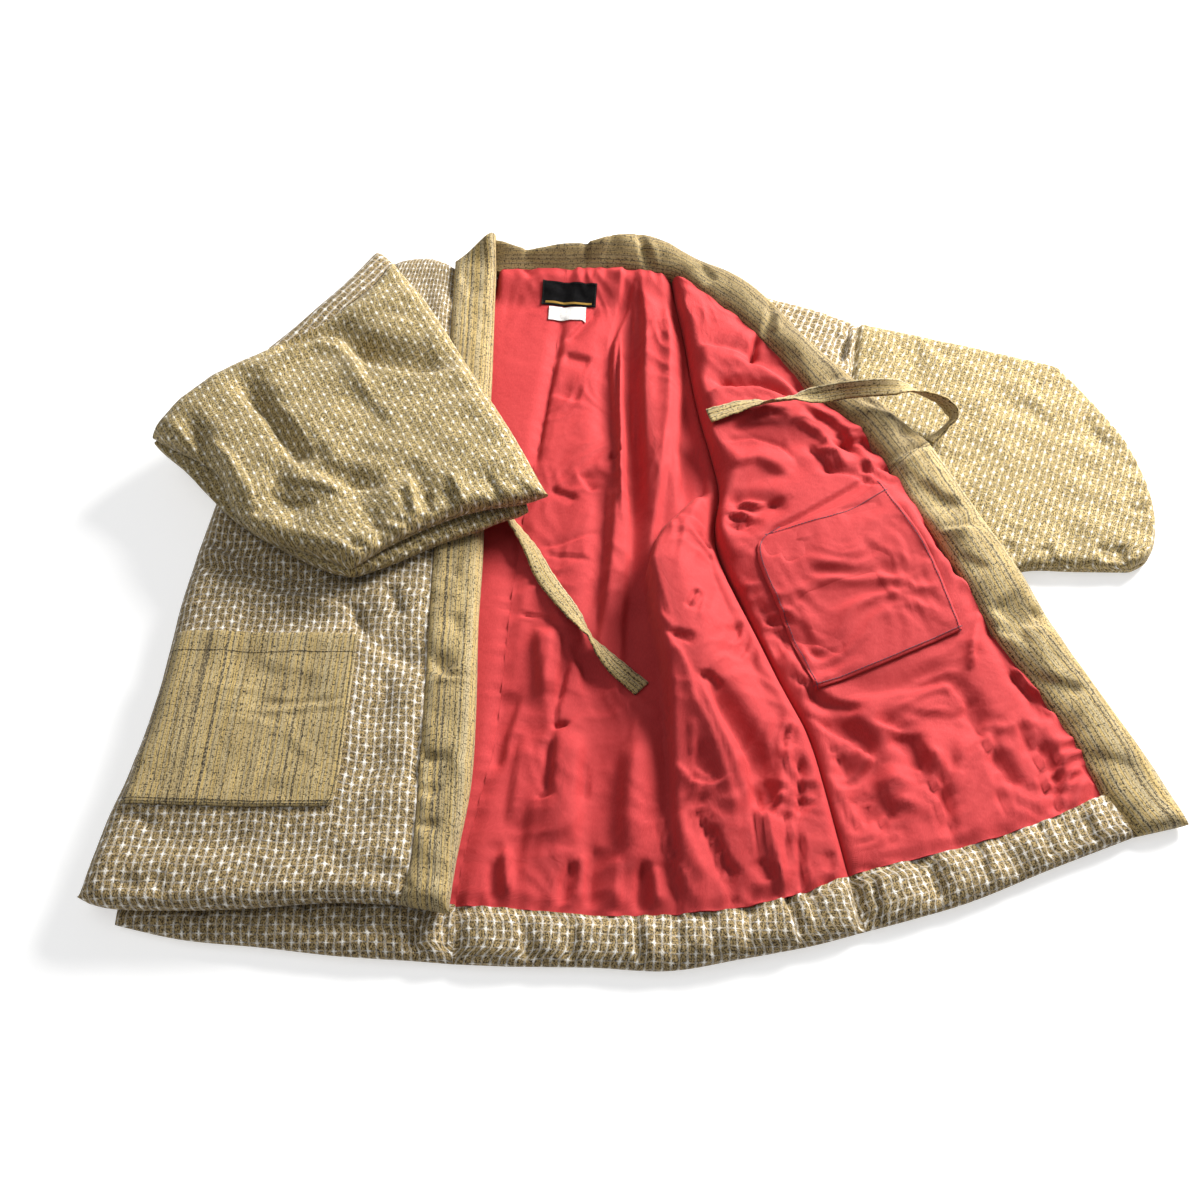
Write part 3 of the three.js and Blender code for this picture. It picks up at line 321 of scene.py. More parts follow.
OPEN_CREASES = [
    [10, -4, 2, (238, -118), (263, -114), (305, -107), (339, -100)],
    [10, -3, 2, (290, -141), (344, -143)],
    [7, -7, 2, (256, -143), (283, -154), (296, -167), (297, -192)],
    [4, 5, 1.3, (300, -161), (304, -182), (307, -210), (310, -253)],
    [8, -6, 2, (226, -148), (240, -170), (257, -177)],
    [5, -5, 2, (221, -180), (231, -203)],
    [6, -6, 2, (229, -223), (243, -253)],
    [4, -3, 2, (250, -205), (257, -219), (270, -249)],
    [5, -2, 2, (307, -167), (336, -201)],
    [5, -3, 2, (369, -163), (366, -201), (372, -241)],
    [5, -5, 1.6, (347, -122), (363, -163)],
    [2.5, 2, 1.3, (361, -66), (358, -90)],
    [8, 3, 2, (375, -24), (359, -72)],
    [4, -4, 1.5, (399, -90), (418, -118), (427, -148)],
    [4, -3, 2, (407, -163), (421, -214)],
    [5, -5, 2, (416, -212), (418, -241)],
    [4, -3, 2, (342, 43), (362, 12)],
    [4, -4, 1.6, (376, -20), (386, -55)],
    [5, -5, 2, (149, -17), (171, -46)],
    [6, 4, 1.5, (173, -63), (191, -91), (207, -116)],
    [8, -6, 2, (152, -52), (173, -79)],
    [6, -5, 2, (163, -86), (190, -105), (220, -126)],
    [6, 4, 1.6, (175, -123), (195, -144), (217, -162), (226, -193)],
    [5, -4, 2, (181, -137), (208, -147), (235, -158)],
    [6, -5, 2, (211, -196), (222, -212), (237, -207)],
    [6, -5, 2, (197, -112), (210, -125), (248, -134)],
    [4, -4, 2, (216, -173), (232, -201)],
    [5, -4, 2, (212, -217), (225, -245), (234, -262)],
    [6, -5, 2, (126, 100), (152, 103), (185, 96)],
    [4, -6, 1.6, (129, 82), (141, 77), (153, 79)],
    [9, -9, 2, (121, 28), (132, 8), (125, -7)],
    [3, 3, 1.3, (125, -8), (157, 1)],
    [3, -4, 1.5, (170, 325), (163, 290)],
    [4, -3.5, 2, (152, 39), (176, 63), (202, 77), (245, 105), (285, 132)],
    [5, -6, 1.6, (119, 262), (143, 254), (173, 258), (211, 238)],
    [5, 4, 1.6, (106, 236), (133, 248), (164, 250), (199, 238)],
    [10, -6, 2, (145, 298), (181, 286), (212, 258), (226, 238)],
    [10, 5, 2, (105, 306), (136, 302), (166, 292)],
    [3, -6, 1.5, (174, 329), (165, 294)],
    [9, -7, 2, (216, 222), (244, 203), (259, 176), (274, 143)],
    [8, 5, 2, (203, 207), (231, 188), (246, 161)],
    [4, -5, 1.6, (218, 172), (234, 146), (241, 132)],
    [4, 4, 1.5, (229, 161), (246, 158), (252, 139)],
    [9, -5, 2, (139, 188), (167, 213), (198, 216)],
    [3, -3, 1.5, (130, 176), (160, 182), (189, 172), (204, 146)],
    [6, -7, 1.8, (123, 71), (145, 68), (160, 80)],
    [4, 5, 1.5, (126, 87), (143, 85), (154, 76)],
    [8, -7, 2, (132, 96), (160, 89), (190, 99)],
    [9, -9, 2, (117, 128), (127, 99), (118, 71)],
    [9, -8, 2, (115, 48), (128, 28), (123, 7)],
    [5, -5, 1.8, (268, 139), (282, 135), (300, 117)],
    [5, 4, 1.5, (274, 145), (297, 139), (315, 124)],
    [6, -7, 1.8, (337, 51), (350, 28), (356, 7)],
    [7, 5, 1.8, (308, 106), (325, 61), (336, 28)],
    [6, -5, 1.8, (125, -12), (144, -7), (155, -15)],
    [6, 5, 1.8, (128, -3), (150, 1)],
    [6, -5, 1.8, (130, -30), (153, -59), (173, -89)],
    [6, 5, 1.8, (163, -80), (188, -107), (203, -122)],
    [12, 5, 2, (129, 146), (164, 154), (198, 135)],
    [12, 4, 2, (224, 176), (264, 158), (290, 132)],
    [5, -4, 1.8, (227, 139), (261, 132), (288, 114)],
    [4, 4, 1.3, (363, -58), (359, -76), (359, -92)],
    [6, -5, 2, (333, -103), (351, -126), (360, -153)],
    [4, 4, 1.3, (397, -84), (408, -103), (426, -122)],
    [5, -6, 1.8, (413, -115), (425, -126), (440, -138)],
    [6, -5, 2, (416, -122), (417, -146)],
    [5, -4, 2, (360, -183), (384, -216)],
    [5, 4, 1.4, (364, -149), (363, -183), (370, -227)],
    [6, -4, 2, (395, -146), (399, -183)],
    [6, -5, 2, (419, -164), (423, -190), (422, -227)],
    [5, -4, 2, (448, -187), (460, -216)],
    [6, -6, 2, (234, 170), (276, 180), (300, 161)],
    [6, 4, 1.5, (243, 189), (281, 194), (302, 180)],
    [6, -5, 2, (265, 144), (298, 142), (315, 130)],
    [6, -5, 2, (327, 78), (345, 43), (354, 23)],
    [5, 4, 1.5, (339, 52), (350, 19), (368, -8)],
    [9, -9, 2, (207, -149), (243, -161), (258, -187), (241, -209)],
    [8, -8, 2, (276, -157), (294, -176), (295, -198)],
    [6, 6, 1.5, (267, -153), (299, -161), (310, -183), (312, -223)],
    [6, -5, 2, (315, -198), (317, -234), (319, -265)],
    [2.8, 5.5, 1.3, (314, -281), (310, -229), (307, -192)],
    [4.5, -5, 1.8, (310, -282), (306, -230), (302, -193)],
    [2.8, 5.5, 1.3, (375, -255), (368, -194), (363, -161)],
    [4.5, -5, 1.8, (371, -255), (364, -195), (358, -162)],
    [2.8, 5.5, 1.3, (414, -238), (411, -194), (406, -159)],
    [4.5, -5, 1.8, (409, -239), (406, -195), (402, -160)],
    [2.8, 5.5, 1.3, (218, -281), (206, -233)],
    [4.5, -5, 1.8, (214, -282), (202, -234)],
    [2.8, 5.5, 1.3, (398, -88), (421, -123), (420, -133)],
    [4.5, -5, 1.8, (393, -89), (416, -124), (415, -134)],
    [2.8, 5.5, 1.3, (269, -271), (251, -231), (229, -221)],
    [4.5, -5, 1.8, (264, -272), (247, -232), (225, -222)],
    [2.8, 5.5, 1.3, (350, -128), (362, -159)],
    [4.5, -5, 1.8, (346, -129), (358, -160)],
]
POCKET_CREASES = [
    [14, -7, 2, (163, 32), (185, 42), (191, 20)],
    [12, -7, 2, (187, -26), (232, -6), (266, 4), (284, -23)],
    [9, -5, 2, (186, -56), (212, -62), (238, -77)],
    [10, -4, 2, (258, 45), (285, 26), (289, 4)],
    [12, 5, 2, (206, 20), (246, 26), (269, 39)],
    [8, -4, 2, (239, 79), (286, 93)],
]
SLEEVE_CREASES = [
    [12, -14, 2, (-352, 255), (-322, 279), (-301, 291), (-279, 291), (-264, 279), (-239, 252),
     (-208, 241), (-178, 241), (-148, 244)],
    [8, 7, 2, (-346, 248), (-320, 265), (-299, 271), (-276, 266), (-261, 248), (-241, 208)],
    [10, -9, 2, (-372, 212), (-343, 180), (-324, 149), (-304, 119), (-292, 102)],
    [9, 5, 2, (-346, 201), (-315, 166), (-290, 129), (-282, 102)],
    [8, -8, 2, (-418, 163), (-401, 132), (-386, 102), (-377, 76)],
    [9, 5, 2, (-403, 149), (-372, 116), (-346, 76), (-338, 51)],
    [11, -6, 2, (-279, 106), (-260, 89), (-213, 86)],
    [11, -6, 2, (-331, 76), (-298, 60), (-278, 63)],
    [9, 4, 2, (-323, 96), (-285, 86), (-248, 73)],
    [5, 6, 1.5, (-190, 96), (-182, 60), (-179, 41)],
    [6, -5, 2, (-196, 76), (-188, 48)],
    [6, -5, 2, (-171, 76), (-166, 48)],
    [6, 5, 1.5, (-148, 96), (-136, 63), (-129, 51)],
    [7, -6, 2, (-147, 80), (-141, 60)],
    [6, -5, 2, (-222, 41), (-210, 16)],
    [5, -4, 2, (-112, 96), (-98, 70)],
    [6, -4, 2, (-248, 22), (-234, 7)],
    [2.2, -3, 1.5, (-382, 76), (-364, 54), (-343, 35), (-313, 16), (-281, 1), (-255, -14)],
    [9, -4, 2, (-367, 76), (-344, 57), (-324, 44)],
    [14, -4, 2, (-260, 212), (-239, 184), (-218, 156)],
]
CLOSED_CREASES = [
    [8, -7, 2, (-394, 47), (-366, 30), (-342, 16), (-312, 3), (-271, -6)],
    [5, -5, 1.6, (-402, 23), (-363, 9), (-328, -1), (-293, -13), (-264, -21)],
    [6, 4, 1.6, (-401, 33), (-370, 20), (-340, 4)],
    [5, 4, 1.6, (-377, -11), (-320, -22), (-269, -28)],
    [8, -8, 2, (-265, -19), (-238, -34), (-230, -57), (-226, -73)],
    [5, 4, 1.5, (-254, -18), (-230, -31), (-219, -57)],
    [16, -7, 2, (-218, -70), (-193, -86), (-172, -102)],
    [3, -3, 1.5, (-201, -111), (-197, -130), (-196, -148)],
    [8, -5, 2, (-170, -172), (-165, -196), (-169, -219)],
    [24, -4, 2, (-351, -80), (-309, -117), (-259, -127)],
    [4, 3.5, 1.3, (-342, -150), (-305, -151), (-265, -147), (-228, -145)],
    [6, -3, 2, (-332, -142), (-284, -142), (-237, -139)],
    [20, -3, 2, (-343, -64), (-295, -92)],
    [6, -4, 2, (-428, -250), (-407, -255), (-393, -264)],
    [7, -4, 2, (-195, -315), (-179, -299)],
    [6, -3, 2, (-386, -307), (-374, -331)],
    [5, -3, 2, (-419, -315), (-395, -325)],
    [9, -3, 2, (-302, -296), (-285, -315)],
    [8, -3, 2, (-238, -283), (-228, -310)],
    [6, -5, 2, (-204, -8), (-190, -44)],
]
BAND_CREASES = [
    [9, -6, 2, (-157, -92), (-145, -108)],
    [4, -4, 1.5, (-150, -108), (-137, -111), (-118, -113)],
    [5, 4, 1.5, (-153, -117), (-136, -117), (-120, -116)],
    [9, -5, 2, (-164, -193), (-148, -199), (-135, -194)],
    [9, -4, 2, (-159, -227), (-146, -236)],
    [6, -4, 2, (-164, -264), (-142, -261)],
    [8, -3, 2, (-143, -44), (-134, -67)],
    [5, -4, 1.5, (-176, -312), (-160, -325)],
    [8, -3, 2, (-138, -320), (-129, -302)],
    [9, -3, 2, (-141, 27), (-145, -1)],
    [9, -4, 2, (-154, 416), (-143, 376)],
    [8, -4, 2, (-128, 360), (-124, 332)],
]
COLLAR_CREASES = [
    [9, -6, 2, (310, 226), (322, 196), (316, 177)],
    [14, -6, 2, (325, 121), (344, 98), (367, 84)],
    [3, -3, 1.5, (346, 62), (379, 67)],
    [5, 4, 1.5, (339, 58), (375, 60)],
    [14, -8, 2, (388, -19), (401, -40), (390, -56)],
    [9, 5, 2, (411, -52), (432, -52)],
    [6, -5, 2, (422, -28), (429, -40)],
    [12, -5, 2, (410, -100), (442, -112), (461, -119)],
    [10, -5, 2, (426, -131), (440, -161)],
    [10, -3, 2, (450, -180), (492, -198)],
    [3, -4, 1.5, (298, 146), (326, 163), (353, 172)],
    [4, 3, 1.5, (306, 139), (336, 156), (358, 165)],
    [5, -4, 2, (276, 231), (308, 211)],
    [7, -3, 2, (357, 32), (386, 14)],
    [3.4, -7, 1.5, (-87, 482), (-85, 453), (-87, 421)],
    [3.4, -7, 1.5, (-15, 485), (-15, 453), (-15, 424)],
    [5, -9, 1.6, (43, 479), (50, 443), (62, 414)],
    [3.4, -4, 1.6, (6, 453), (7, 424)],
    [5, 3, 1.5, (-73, 469), (-70, 436)],
    [5, 3, 1.5, (55, 469), (68, 433)],
    [6, -6, 1.8, (191, 374), (187, 344), (176, 321)],
    [5, 4, 1.5, (200, 359), (196, 326)],
    [3, -4, 1.5, (245, 256), (272, 265)],
    [7, -4, 2, (114, 433), (131, 405)],
    [7, -4, 2, (14, 469), (7, 443)],
]
HEM_CREASES = [
    [5, -8, 1.7, (161, -316), (169, -340), (177, -373)],
    [6, 4, 1.7, (175, -316), (184, -348)],
    [4, -6, 1.6, (223, -303), (226, -330), (229, -360)],
    [4, -6, 1.6, (242, -298), (246, -353)],
    [5, -7, 1.7, (-153, -330), (-156, -344), (-166, -369)],
    [3, -5, 1.6, (-136, -326), (-132, -371)],
    [5, -5, 1.7, (-70, -339), (-63, -380)],
    [7, -4, 2, (-22, -340), (-24, -381)],
    [5, -6, 1.7, (30, -337), (34, -383)],
    [6, 3, 1.7, (42, -338), (44, -381)],
    [6, -5, 1.7, (91, -333), (99, -380)],
    [5, -4, 1.7, (129, -327), (130, -371)],
    [5, -5, 1.7, (293, -286), (300, -327)],
    [6, -4, 2, (340, -271), (344, -307)],
    [5, -5, 1.7, (396, -252), (403, -286)],
    [6, -4, 2, (440, -242), (445, -271)],
    [6, -4, 2, (-264, -307), (-251, -353)],
    [6, -4, 2, (-352, -307), (-343, -344)],
    [5, -4, 2, (-211, -316), (-210, -357)],
]
OPEN_SLEEVE_CREASES = [
    [6, -5, 1.8, (504, 53), (511, 31)],
    [6, -5, 1.8, (526, 53), (528, 27)],
    [6, -4, 1.8, (411, 57), (415, 35)],
    [7, -4, 2, (453, 53), (453, 31)],
    [6, -4, 1.8, (542, 98), (563, 93)],
    [6, -4, 1.8, (552, 153), (572, 158)],
    [8, -3, 2, (364, 335), (384, 298)],
    [14, -3, 2, (454, 246), (478, 202)],
    [2.2, -3, 1.5, (349, 332), (351, 314), (344, 287)],
    [9, -3, 2, (519, 221), (535, 182)],
]
SHOULDER_CREASES = [
    [4, -10, 1.6, (267, 298), (275, 330), (284, 364)],
    [4, -6, 1.6, (258, 313), (266, 346)],
    [4, 5, 1.6, (277, 307), (286, 346)],
    [4, -4, 1.6, (251, 356), (260, 373)],
]

SEWN_GAP = 0.05            # from a seam line to the edge of the cloth beside it
COLLAR_RUN = 998           # collar from the left peak round to the hem, along its seam
NECK_STANDS = 22           # the collar stands this much higher round the neck
PEAK_REACH = 1.6           # the neck collar starts this much further left than its seam
LABEL_LIFT = 0.7           # labels above the lining
WARP_STEP, WEFT_STEP = 7.4, 7.9     # from one pale yarn of the check cloth to the next
CREASE_BOOST = {"back": 1.35, "ridge": 1.15, "open": 1.3}   # the cloth creases deeper than the tables say
CELL = 3.0                 # grid cell of the cloth that shows
FLOOR_CLEAR = 6.0          # no trough comes nearer to the floor than this
EDGE_PLACES = np.array([0, 0.35, 1.4, 3.1, 5.4, 8.2, 11.4])   # points next to an edge, closer together


# ---- camera, floor and light

def look_from(place, pitch, lens):
    data = bpy.data.cameras.new("view")
    data.sensor_width = 36
    data.lens = lens
    data.clip_start, data.clip_end = 0.05, 50
    camera = bpy.data.objects.new("view", data)
    camera.location = place
    camera.rotation_euler = (math.radians(pitch), 0, 0)
    scene.collection.objects.link(camera)
    scene.camera = camera


def soft_light(name, place, target, size, power, colour):
    data = bpy.data.lights.new(name, "AREA")
    data.shape, data.size, data.size_y = "RECTANGLE", size[0], size[1]
    data.energy, data.color = power, colour
    light = bpy.data.objects.new(name, data)
    light.location = place
    light.rotation_euler = (Vector(target) - Vector(place)).to_track_quat("-Z", "Y").to_euler()
    scene.collection.objects.link(light)


look_from((-0.0536, -0.8667, 1.258), pitch=33, lens=44.82)
scene.view_settings.view_transform = "Standard"
soft_light("window side", (1.3, 1.3, 1.02), (0.05, 0.0, 0), size=(0.9, 0.9), power=146, colour=(1, 0.985, 0.96))
soft_light("room side", (-1.2, 0.1, 2.0), (0, 0, 0), size=(1.4, 1.4), power=10, colour=(0.96, 0.98, 1))
world = bpy.data.worlds.new("room")
scene.world = world
world.use_nodes = True
sky = world.node_tree.nodes["Background"].inputs
sky["Color"].default_value = (1, 1, 1, 1)
sky["Strength"].default_value = 0.29


# ---- lines and grids

def clamp(t):
    return np.clip(t, 0, 1)


def ease(t):
    t = clamp(t)
    return t * t * (3 - 2 * t)


def mix(a, b, t):
    return a + (b - a) * t


def roll(distance, radius):
    """Round of a rolled edge: 0 at the edge, 1 from the radius inwards."""
    return np.sqrt(np.maximum(0, 1 - (1 - clamp(distance / radius)) ** 2))


def smooth(rows, columns=2, per=24):
    """Dense points on a smooth line through a table."""
    p = np.array(rows, float)[:, :columns]
    p = np.vstack([2 * p[0] - p[1], p, 2 * p[-1] - p[-2]])
    t = np.linspace(0, 1, per, endpoint=False)[:, None]
    out = []
    for a, b, c, d in zip(p[:-3], p[1:-2], p[2:-1], p[3:]):
        s0, s1, s2 = (max(np.linalg.norm(v) ** 0.5, 1e-4) for v in (b - a, c - b, d - c))
        m1 = ((b - a) / s0 - (c - a) / (s0 + s1) + (c - b) / s1) * s1
        m2 = ((c - b) / s1 - (d - b) / (s1 + s2) + (d - c) / s2) * s1
        out.append(b + m1 * t + (3 * (c - b) - 2 * m1 - m2) * t ** 2 + (2 * (b - c) + m1 + m2) * t ** 3)
    return np.vstack([*out, p[-2:-1]])


def joined(*lines):
    return np.vstack([lines[0], *[line[1:] for line in lines[1:]]])


def arc(line):
    return np.r_[0, np.cumsum(np.linalg.norm(np.diff(line, axis=0), axis=1))]


def resample(line, places, by=None):
    by = arc(line) if by is None else by
    return np.stack([np.interp(places, by, line[:, k]) for k in range(line.shape[1])], 1)


def at_shares_of(line, other):
    """Points on a line at the shares of another line's points."""
    s = arc(other)
    return resample(line, s / s[-1] * arc(line)[-1])


def edge_places(length, steps):
    marks = EDGE_PLACES * min(1, length / 56)
    return np.r_[marks[:-1], np.linspace(marks[-1], length - marks[-1], steps + 1),
                 length - marks[-2::-1]]


def spread(near, far, left, right, cell, paired=False):
    """Grid of plan points between four edges; near and far run left to right, the others near to far."""
    def pair(a, b):
        steps = max(4, round((arc(a)[-1] + arc(b)[-1]) / 2 / cell) - 7)
        if paired and a is near:
            by = arc(a)
            places = edge_places(by[-1], steps)
            return resample(a, places), resample(b, places, by), places / by[-1]
        pa, pb = edge_places(arc(a)[-1], steps), edge_places(arc(b)[-1], steps)
        return resample(a, pa), resample(b, pb), (pa / pa[-1] + pb / pb[-1]) / 2
    n, f, u = pair(near, far)
    l, r, v = pair(left, right)
    u, v = u[:, None, None], v[None, :, None]
    grid = mix(n[:, None], f[:, None], v) + mix(l[None], r[None], u) \
        - mix(mix(n[0], n[-1], u), mix(f[0], f[-1], u), v)
    for axis, end, inner in ((0, 0, 1), (0, -1, -2), (1, 0, 1), (1, -1, -2)):
        g = np.swapaxes(grid, 0, axis)
        edge = g[end]
        run = np.gradient(edge, axis=0)
        normal = np.stack([-run[:, 1], run[:, 0]], 1) / np.linalg.norm(run, axis=1)[:, None]
        normal *= np.sign((normal * (g[inner] - edge)).sum(1))[:, None]
        g[end] = edge + normal * SEWN_GAP
    return grid


# ---- heights

def fold_height(rows, x, y):
    total = np.zeros_like(x)
    for x1, y1, x2, y2, width, height in rows:
        run = np.array([x2 - x1, y2 - y1])
        n = np.hypot(*run)
        along = ((x - x1) * run[0] + (y - y1) * run[1]) / n ** 2
        off = ((x - x1) * run[1] - (y - y1) * run[0]) / n
        total += height * np.exp(-((off / width) ** 2)) * ease(4 * along) * ease(4 - 4 * along)
    return total


def crease_height(rows, x, y):
    """Creases along their paths: a crest where height is above nought, a trough where it is below."""
    total = np.zeros_like(x)
    for number, (width, height, sharp, *path) in enumerate(rows):
        p = np.array(path, float)
        run = np.diff(p, axis=0)
        starts = arc(p)
        best, along, side = np.full(x.shape, 1e9), np.zeros_like(x), np.zeros_like(x)
        for a, s, start in zip(p, run, starts):
            n = np.hypot(*s)
            t = clamp(((x - a[0]) * s[0] + (y - a[1]) * s[1]) / n ** 2)
            off = np.hypot(x - a[0] - t * s[0], y - a[1] - t * s[1])
            along = np.where(off < best, start + t * n, along)
            turn = ((x - a[0]) * s[1] - (y - a[1]) * s[0]) / n
            side = np.where(off < best, turn, side)
            best = np.minimum(off, best)
        share = along / starts[-1]
        fade = ease(share * 3.5 + 0.25) * ease((1 - share) * 3.5 + 0.25)
        lean = 0.55 * np.tanh(side / width * 2) * (1 if number % 2 else -1)
        total += height * np.exp(-((best / (width * (1 + lean))) ** sharp)) * fade
    return total


def lumps(x, y, size, height, seed):
    """Soft unevenness of wadding, about size across."""
    rng = np.random.default_rng(seed)
    total = np.zeros_like(x)
    for _ in range(9):
        a, k, shift = rng.uniform(0, math.tau), rng.uniform(0.7, 1.5), rng.uniform(0, math.tau)
        total += np.sin((x * math.cos(a) + y * math.sin(a)) * math.pi * k / size + shift)
    return total * height / 3


def crumple(x, y, size, height, seed):
    """Small uneven creases with soft crests, about size apart."""
    rng = np.random.default_rng(seed)
    warp_x = lumps(x, y, size * 1.7, size * 0.7, seed + 1)
    warp_y = lumps(x, y, size * 1.7, size * 0.7, seed + 2)
    total = np.zeros_like(x)
    for weight in (1, 0.7, 0.55, 0.4):
        a, shift = rng.uniform(0, math.tau), rng.uniform(0, math.tau)
        wave = ((x + warp_x) * math.cos(a) + (y + warp_y) * math.sin(a)) * math.pi / size / weight ** 0.5
        total += weight * (0.5 - np.abs(np.sin(wave + shift)) ** 0.8)
    return total * height * (0.5 + 0.5 * np.clip(lumps(x, y, size * 3, 1, seed + 3), -1, 1))


def settle(height, depth=10):
    """Troughs that meet grow no deeper than depth."""
    return np.where(height < 0, depth * np.tanh(height / depth), height)


def gathers(along, pitch, seed):
    """Uneven waves along a seam, from -1 to 1."""
    rng = np.random.default_rng(seed)
    total = np.zeros_like(along)
    for _ in range(5):
        total += np.sin(along * math.tau / (pitch * rng.uniform(0.6, 1.8)) + rng.uniform(0, math.tau))
    return np.clip(total / 2.4, -1, 1)


def ridge_height(x, y):
    left, crest, right, height = (np.interp(y, RIDGE[:, 0], RIDGE[:, k]) for k in (1, 2, 3, 4))
    steep = ease((90 - y) / 60)
    left = left - 3 * steep
    rise = height * roll(x - left, mix(crest - left, 9, steep))
    t = (x - crest) / (right - crest)
    fall = height * (1 - ease(t)) ** 0.8
    lip = height * 0.3 * ease(t * 1.4 - 0.1) * roll(right - x, 9) * ease((90 - y) / 50)
    return np.where((x <= left) | (x >= right), 0, np.where(x < crest, rise, np.maximum(fall, lip)))


def side_x(y):
    return np.interp(y, SIDE_SEAM[:, 1], SIDE_SEAM[:, 0])


class Panel:
    """Padded or flat piece of cloth over a grid, with the heights of its two faces."""

    def __init__(self, name, sides, upper, lower=None, edges=None, drop=0.0, wall=0.0, cell=CELL,
                 paired=False, rough=(0, 0)):
        self.name, self.edges = name, edges or {}
        grid = spread(*sides, cell, paired)
        self.plan = grid
        x, y = grid[..., 0], grid[..., 1]
        self.away = {"left": grid[:1], "right": grid[-1:], "near": grid[:, :1], "far": grid[:, -1:]}
        self.away = {k: np.linalg.norm(grid - v, axis=2) for k, v in self.away.items()}
        step_u = np.linalg.norm(np.diff(grid, axis=0), axis=2)
        step_v = np.linalg.norm(np.diff(grid, axis=1), axis=2)
        self.run_u = np.vstack([np.zeros((1, x.shape[1])), np.cumsum(step_u, 0)])
        self.run_v = np.hstack([np.zeros((x.shape[0], 1)), np.cumsum(step_v, 1)])
        top = upper(x, y, self)
        if rough[1]:
            top = top + lumps(x, y, rough[0], rough[1], len(name) * 7 + ord(name[0])) \
                + crumple(x, y, rough[0] * 1.3, rough[1] * 1.2, len(name))
        base = lower(x, y, self) if lower else np.maximum(0, lumps(x, y, 45, 1.5, len(name)) - 1.0)
        for number, (side, edge) in enumerate(self.edges.items()):
            d = self.away[side] + edge.get("inset", SEAM_GAP / 2)
            seat = edge.get("seat", 0)
            seat = seat(x, y, self) if callable(seat) else seat
            if "gather" in edge:
                pitch, height, reach = edge["gather"]
                run = self.run_u if side in ("near", "far") else self.run_v
                wave = gathers(run, pitch, number + len(name))
                top = top + wave * height * np.exp(-((d / reach) ** 1.3))
            if "dent" in edge:
                top = top - edge["dent"] * (1 - ease(d / edge.get("over", 14)))
            if "round" in edge:
                radius = edge["round"]
                radius = radius(x, y, self) if callable(radius) else radius
                slope = edge["slope"](x, y, self) if "slope" in edge else 0
                top = seat + (top - seat) * mix(roll(d, radius), clamp(d / radius), slope)
            if "under" in edge:
                radius = edge["under"]
                radius = radius(x, y, self) if callable(radius) else radius
                base = seat - (seat - base) * roll(d, radius)
        depth = top - FLOOR_CLEAR
        top = np.where(depth > 4, top, FLOOR_CLEAR + 4 * np.exp(np.minimum(depth - 4, 0) / 4))
        if drop:
            wide = np.pad(top, 1, mode="edge")
            ni, nj = top.shape
            top = np.min([wide[i:i + ni, j:j + nj] for i in range(3) for j in range(3)], axis=0)
        top = top - drop
        self.top = top
        self.base = top - wall if wall else np.minimum(base, top - 1)

    def grain(self, angle=0.0, origin=(0, 0), follow=0.0, band=False, ease_in=1.0):
        """Place of every grid point on the flat cloth, in metres along its grain."""
        z = self.top
        true_u = np.sqrt(np.linalg.norm(np.diff(self.plan, axis=0), axis=2) ** 2 + np.diff(z, axis=0) ** 2)
        true_v = np.sqrt(np.linalg.norm(np.diff(self.plan, axis=1), axis=2) ** 2 + np.diff(z, axis=1) ** 2)
        run_u = np.vstack([np.zeros((1, z.shape[1])), np.cumsum(true_u, 0)])
        run_v = np.hstack([np.zeros((z.shape[0], 1)), np.cumsum(true_v, 1)])
        if band:
            across, along = run_v, np.repeat(run_u.mean(1, keepdims=True), z.shape[1], 1)
            return np.stack([across, along], 2) / 1000
        spot = self.plan.copy()
        for run, plain, axis in ((run_u, self.run_u, 0), (run_v, self.run_v, 1)):
            extra = run - plain
            middle = np.take(extra, [extra.shape[axis] // 2], axis=axis)
            way = np.gradient(self.plan, axis=axis)
            way /= np.maximum(np.linalg.norm(way, axis=2, keepdims=True), 1e-6)
            spot = spot + ease_in * (extra - middle)[..., None] * way
        c, s = math.cos(math.radians(angle)), math.sin(math.radians(angle))
        d = spot - np.array(origin, float)
        uv = np.stack([d[..., 0] * c + d[..., 1] * s, -d[..., 0] * s + d[..., 1] * c], 2)
        if follow:
            share_u, share_v = run_u / run_u[-1:], run_v / run_v[:, -1:]
            even = np.stack([(share_u - 1) * self.run_u[-1].max(), share_v * self.run_v[:, -1].mean()], 2)
            uv = mix(uv, even, follow)
        return uv / 1000


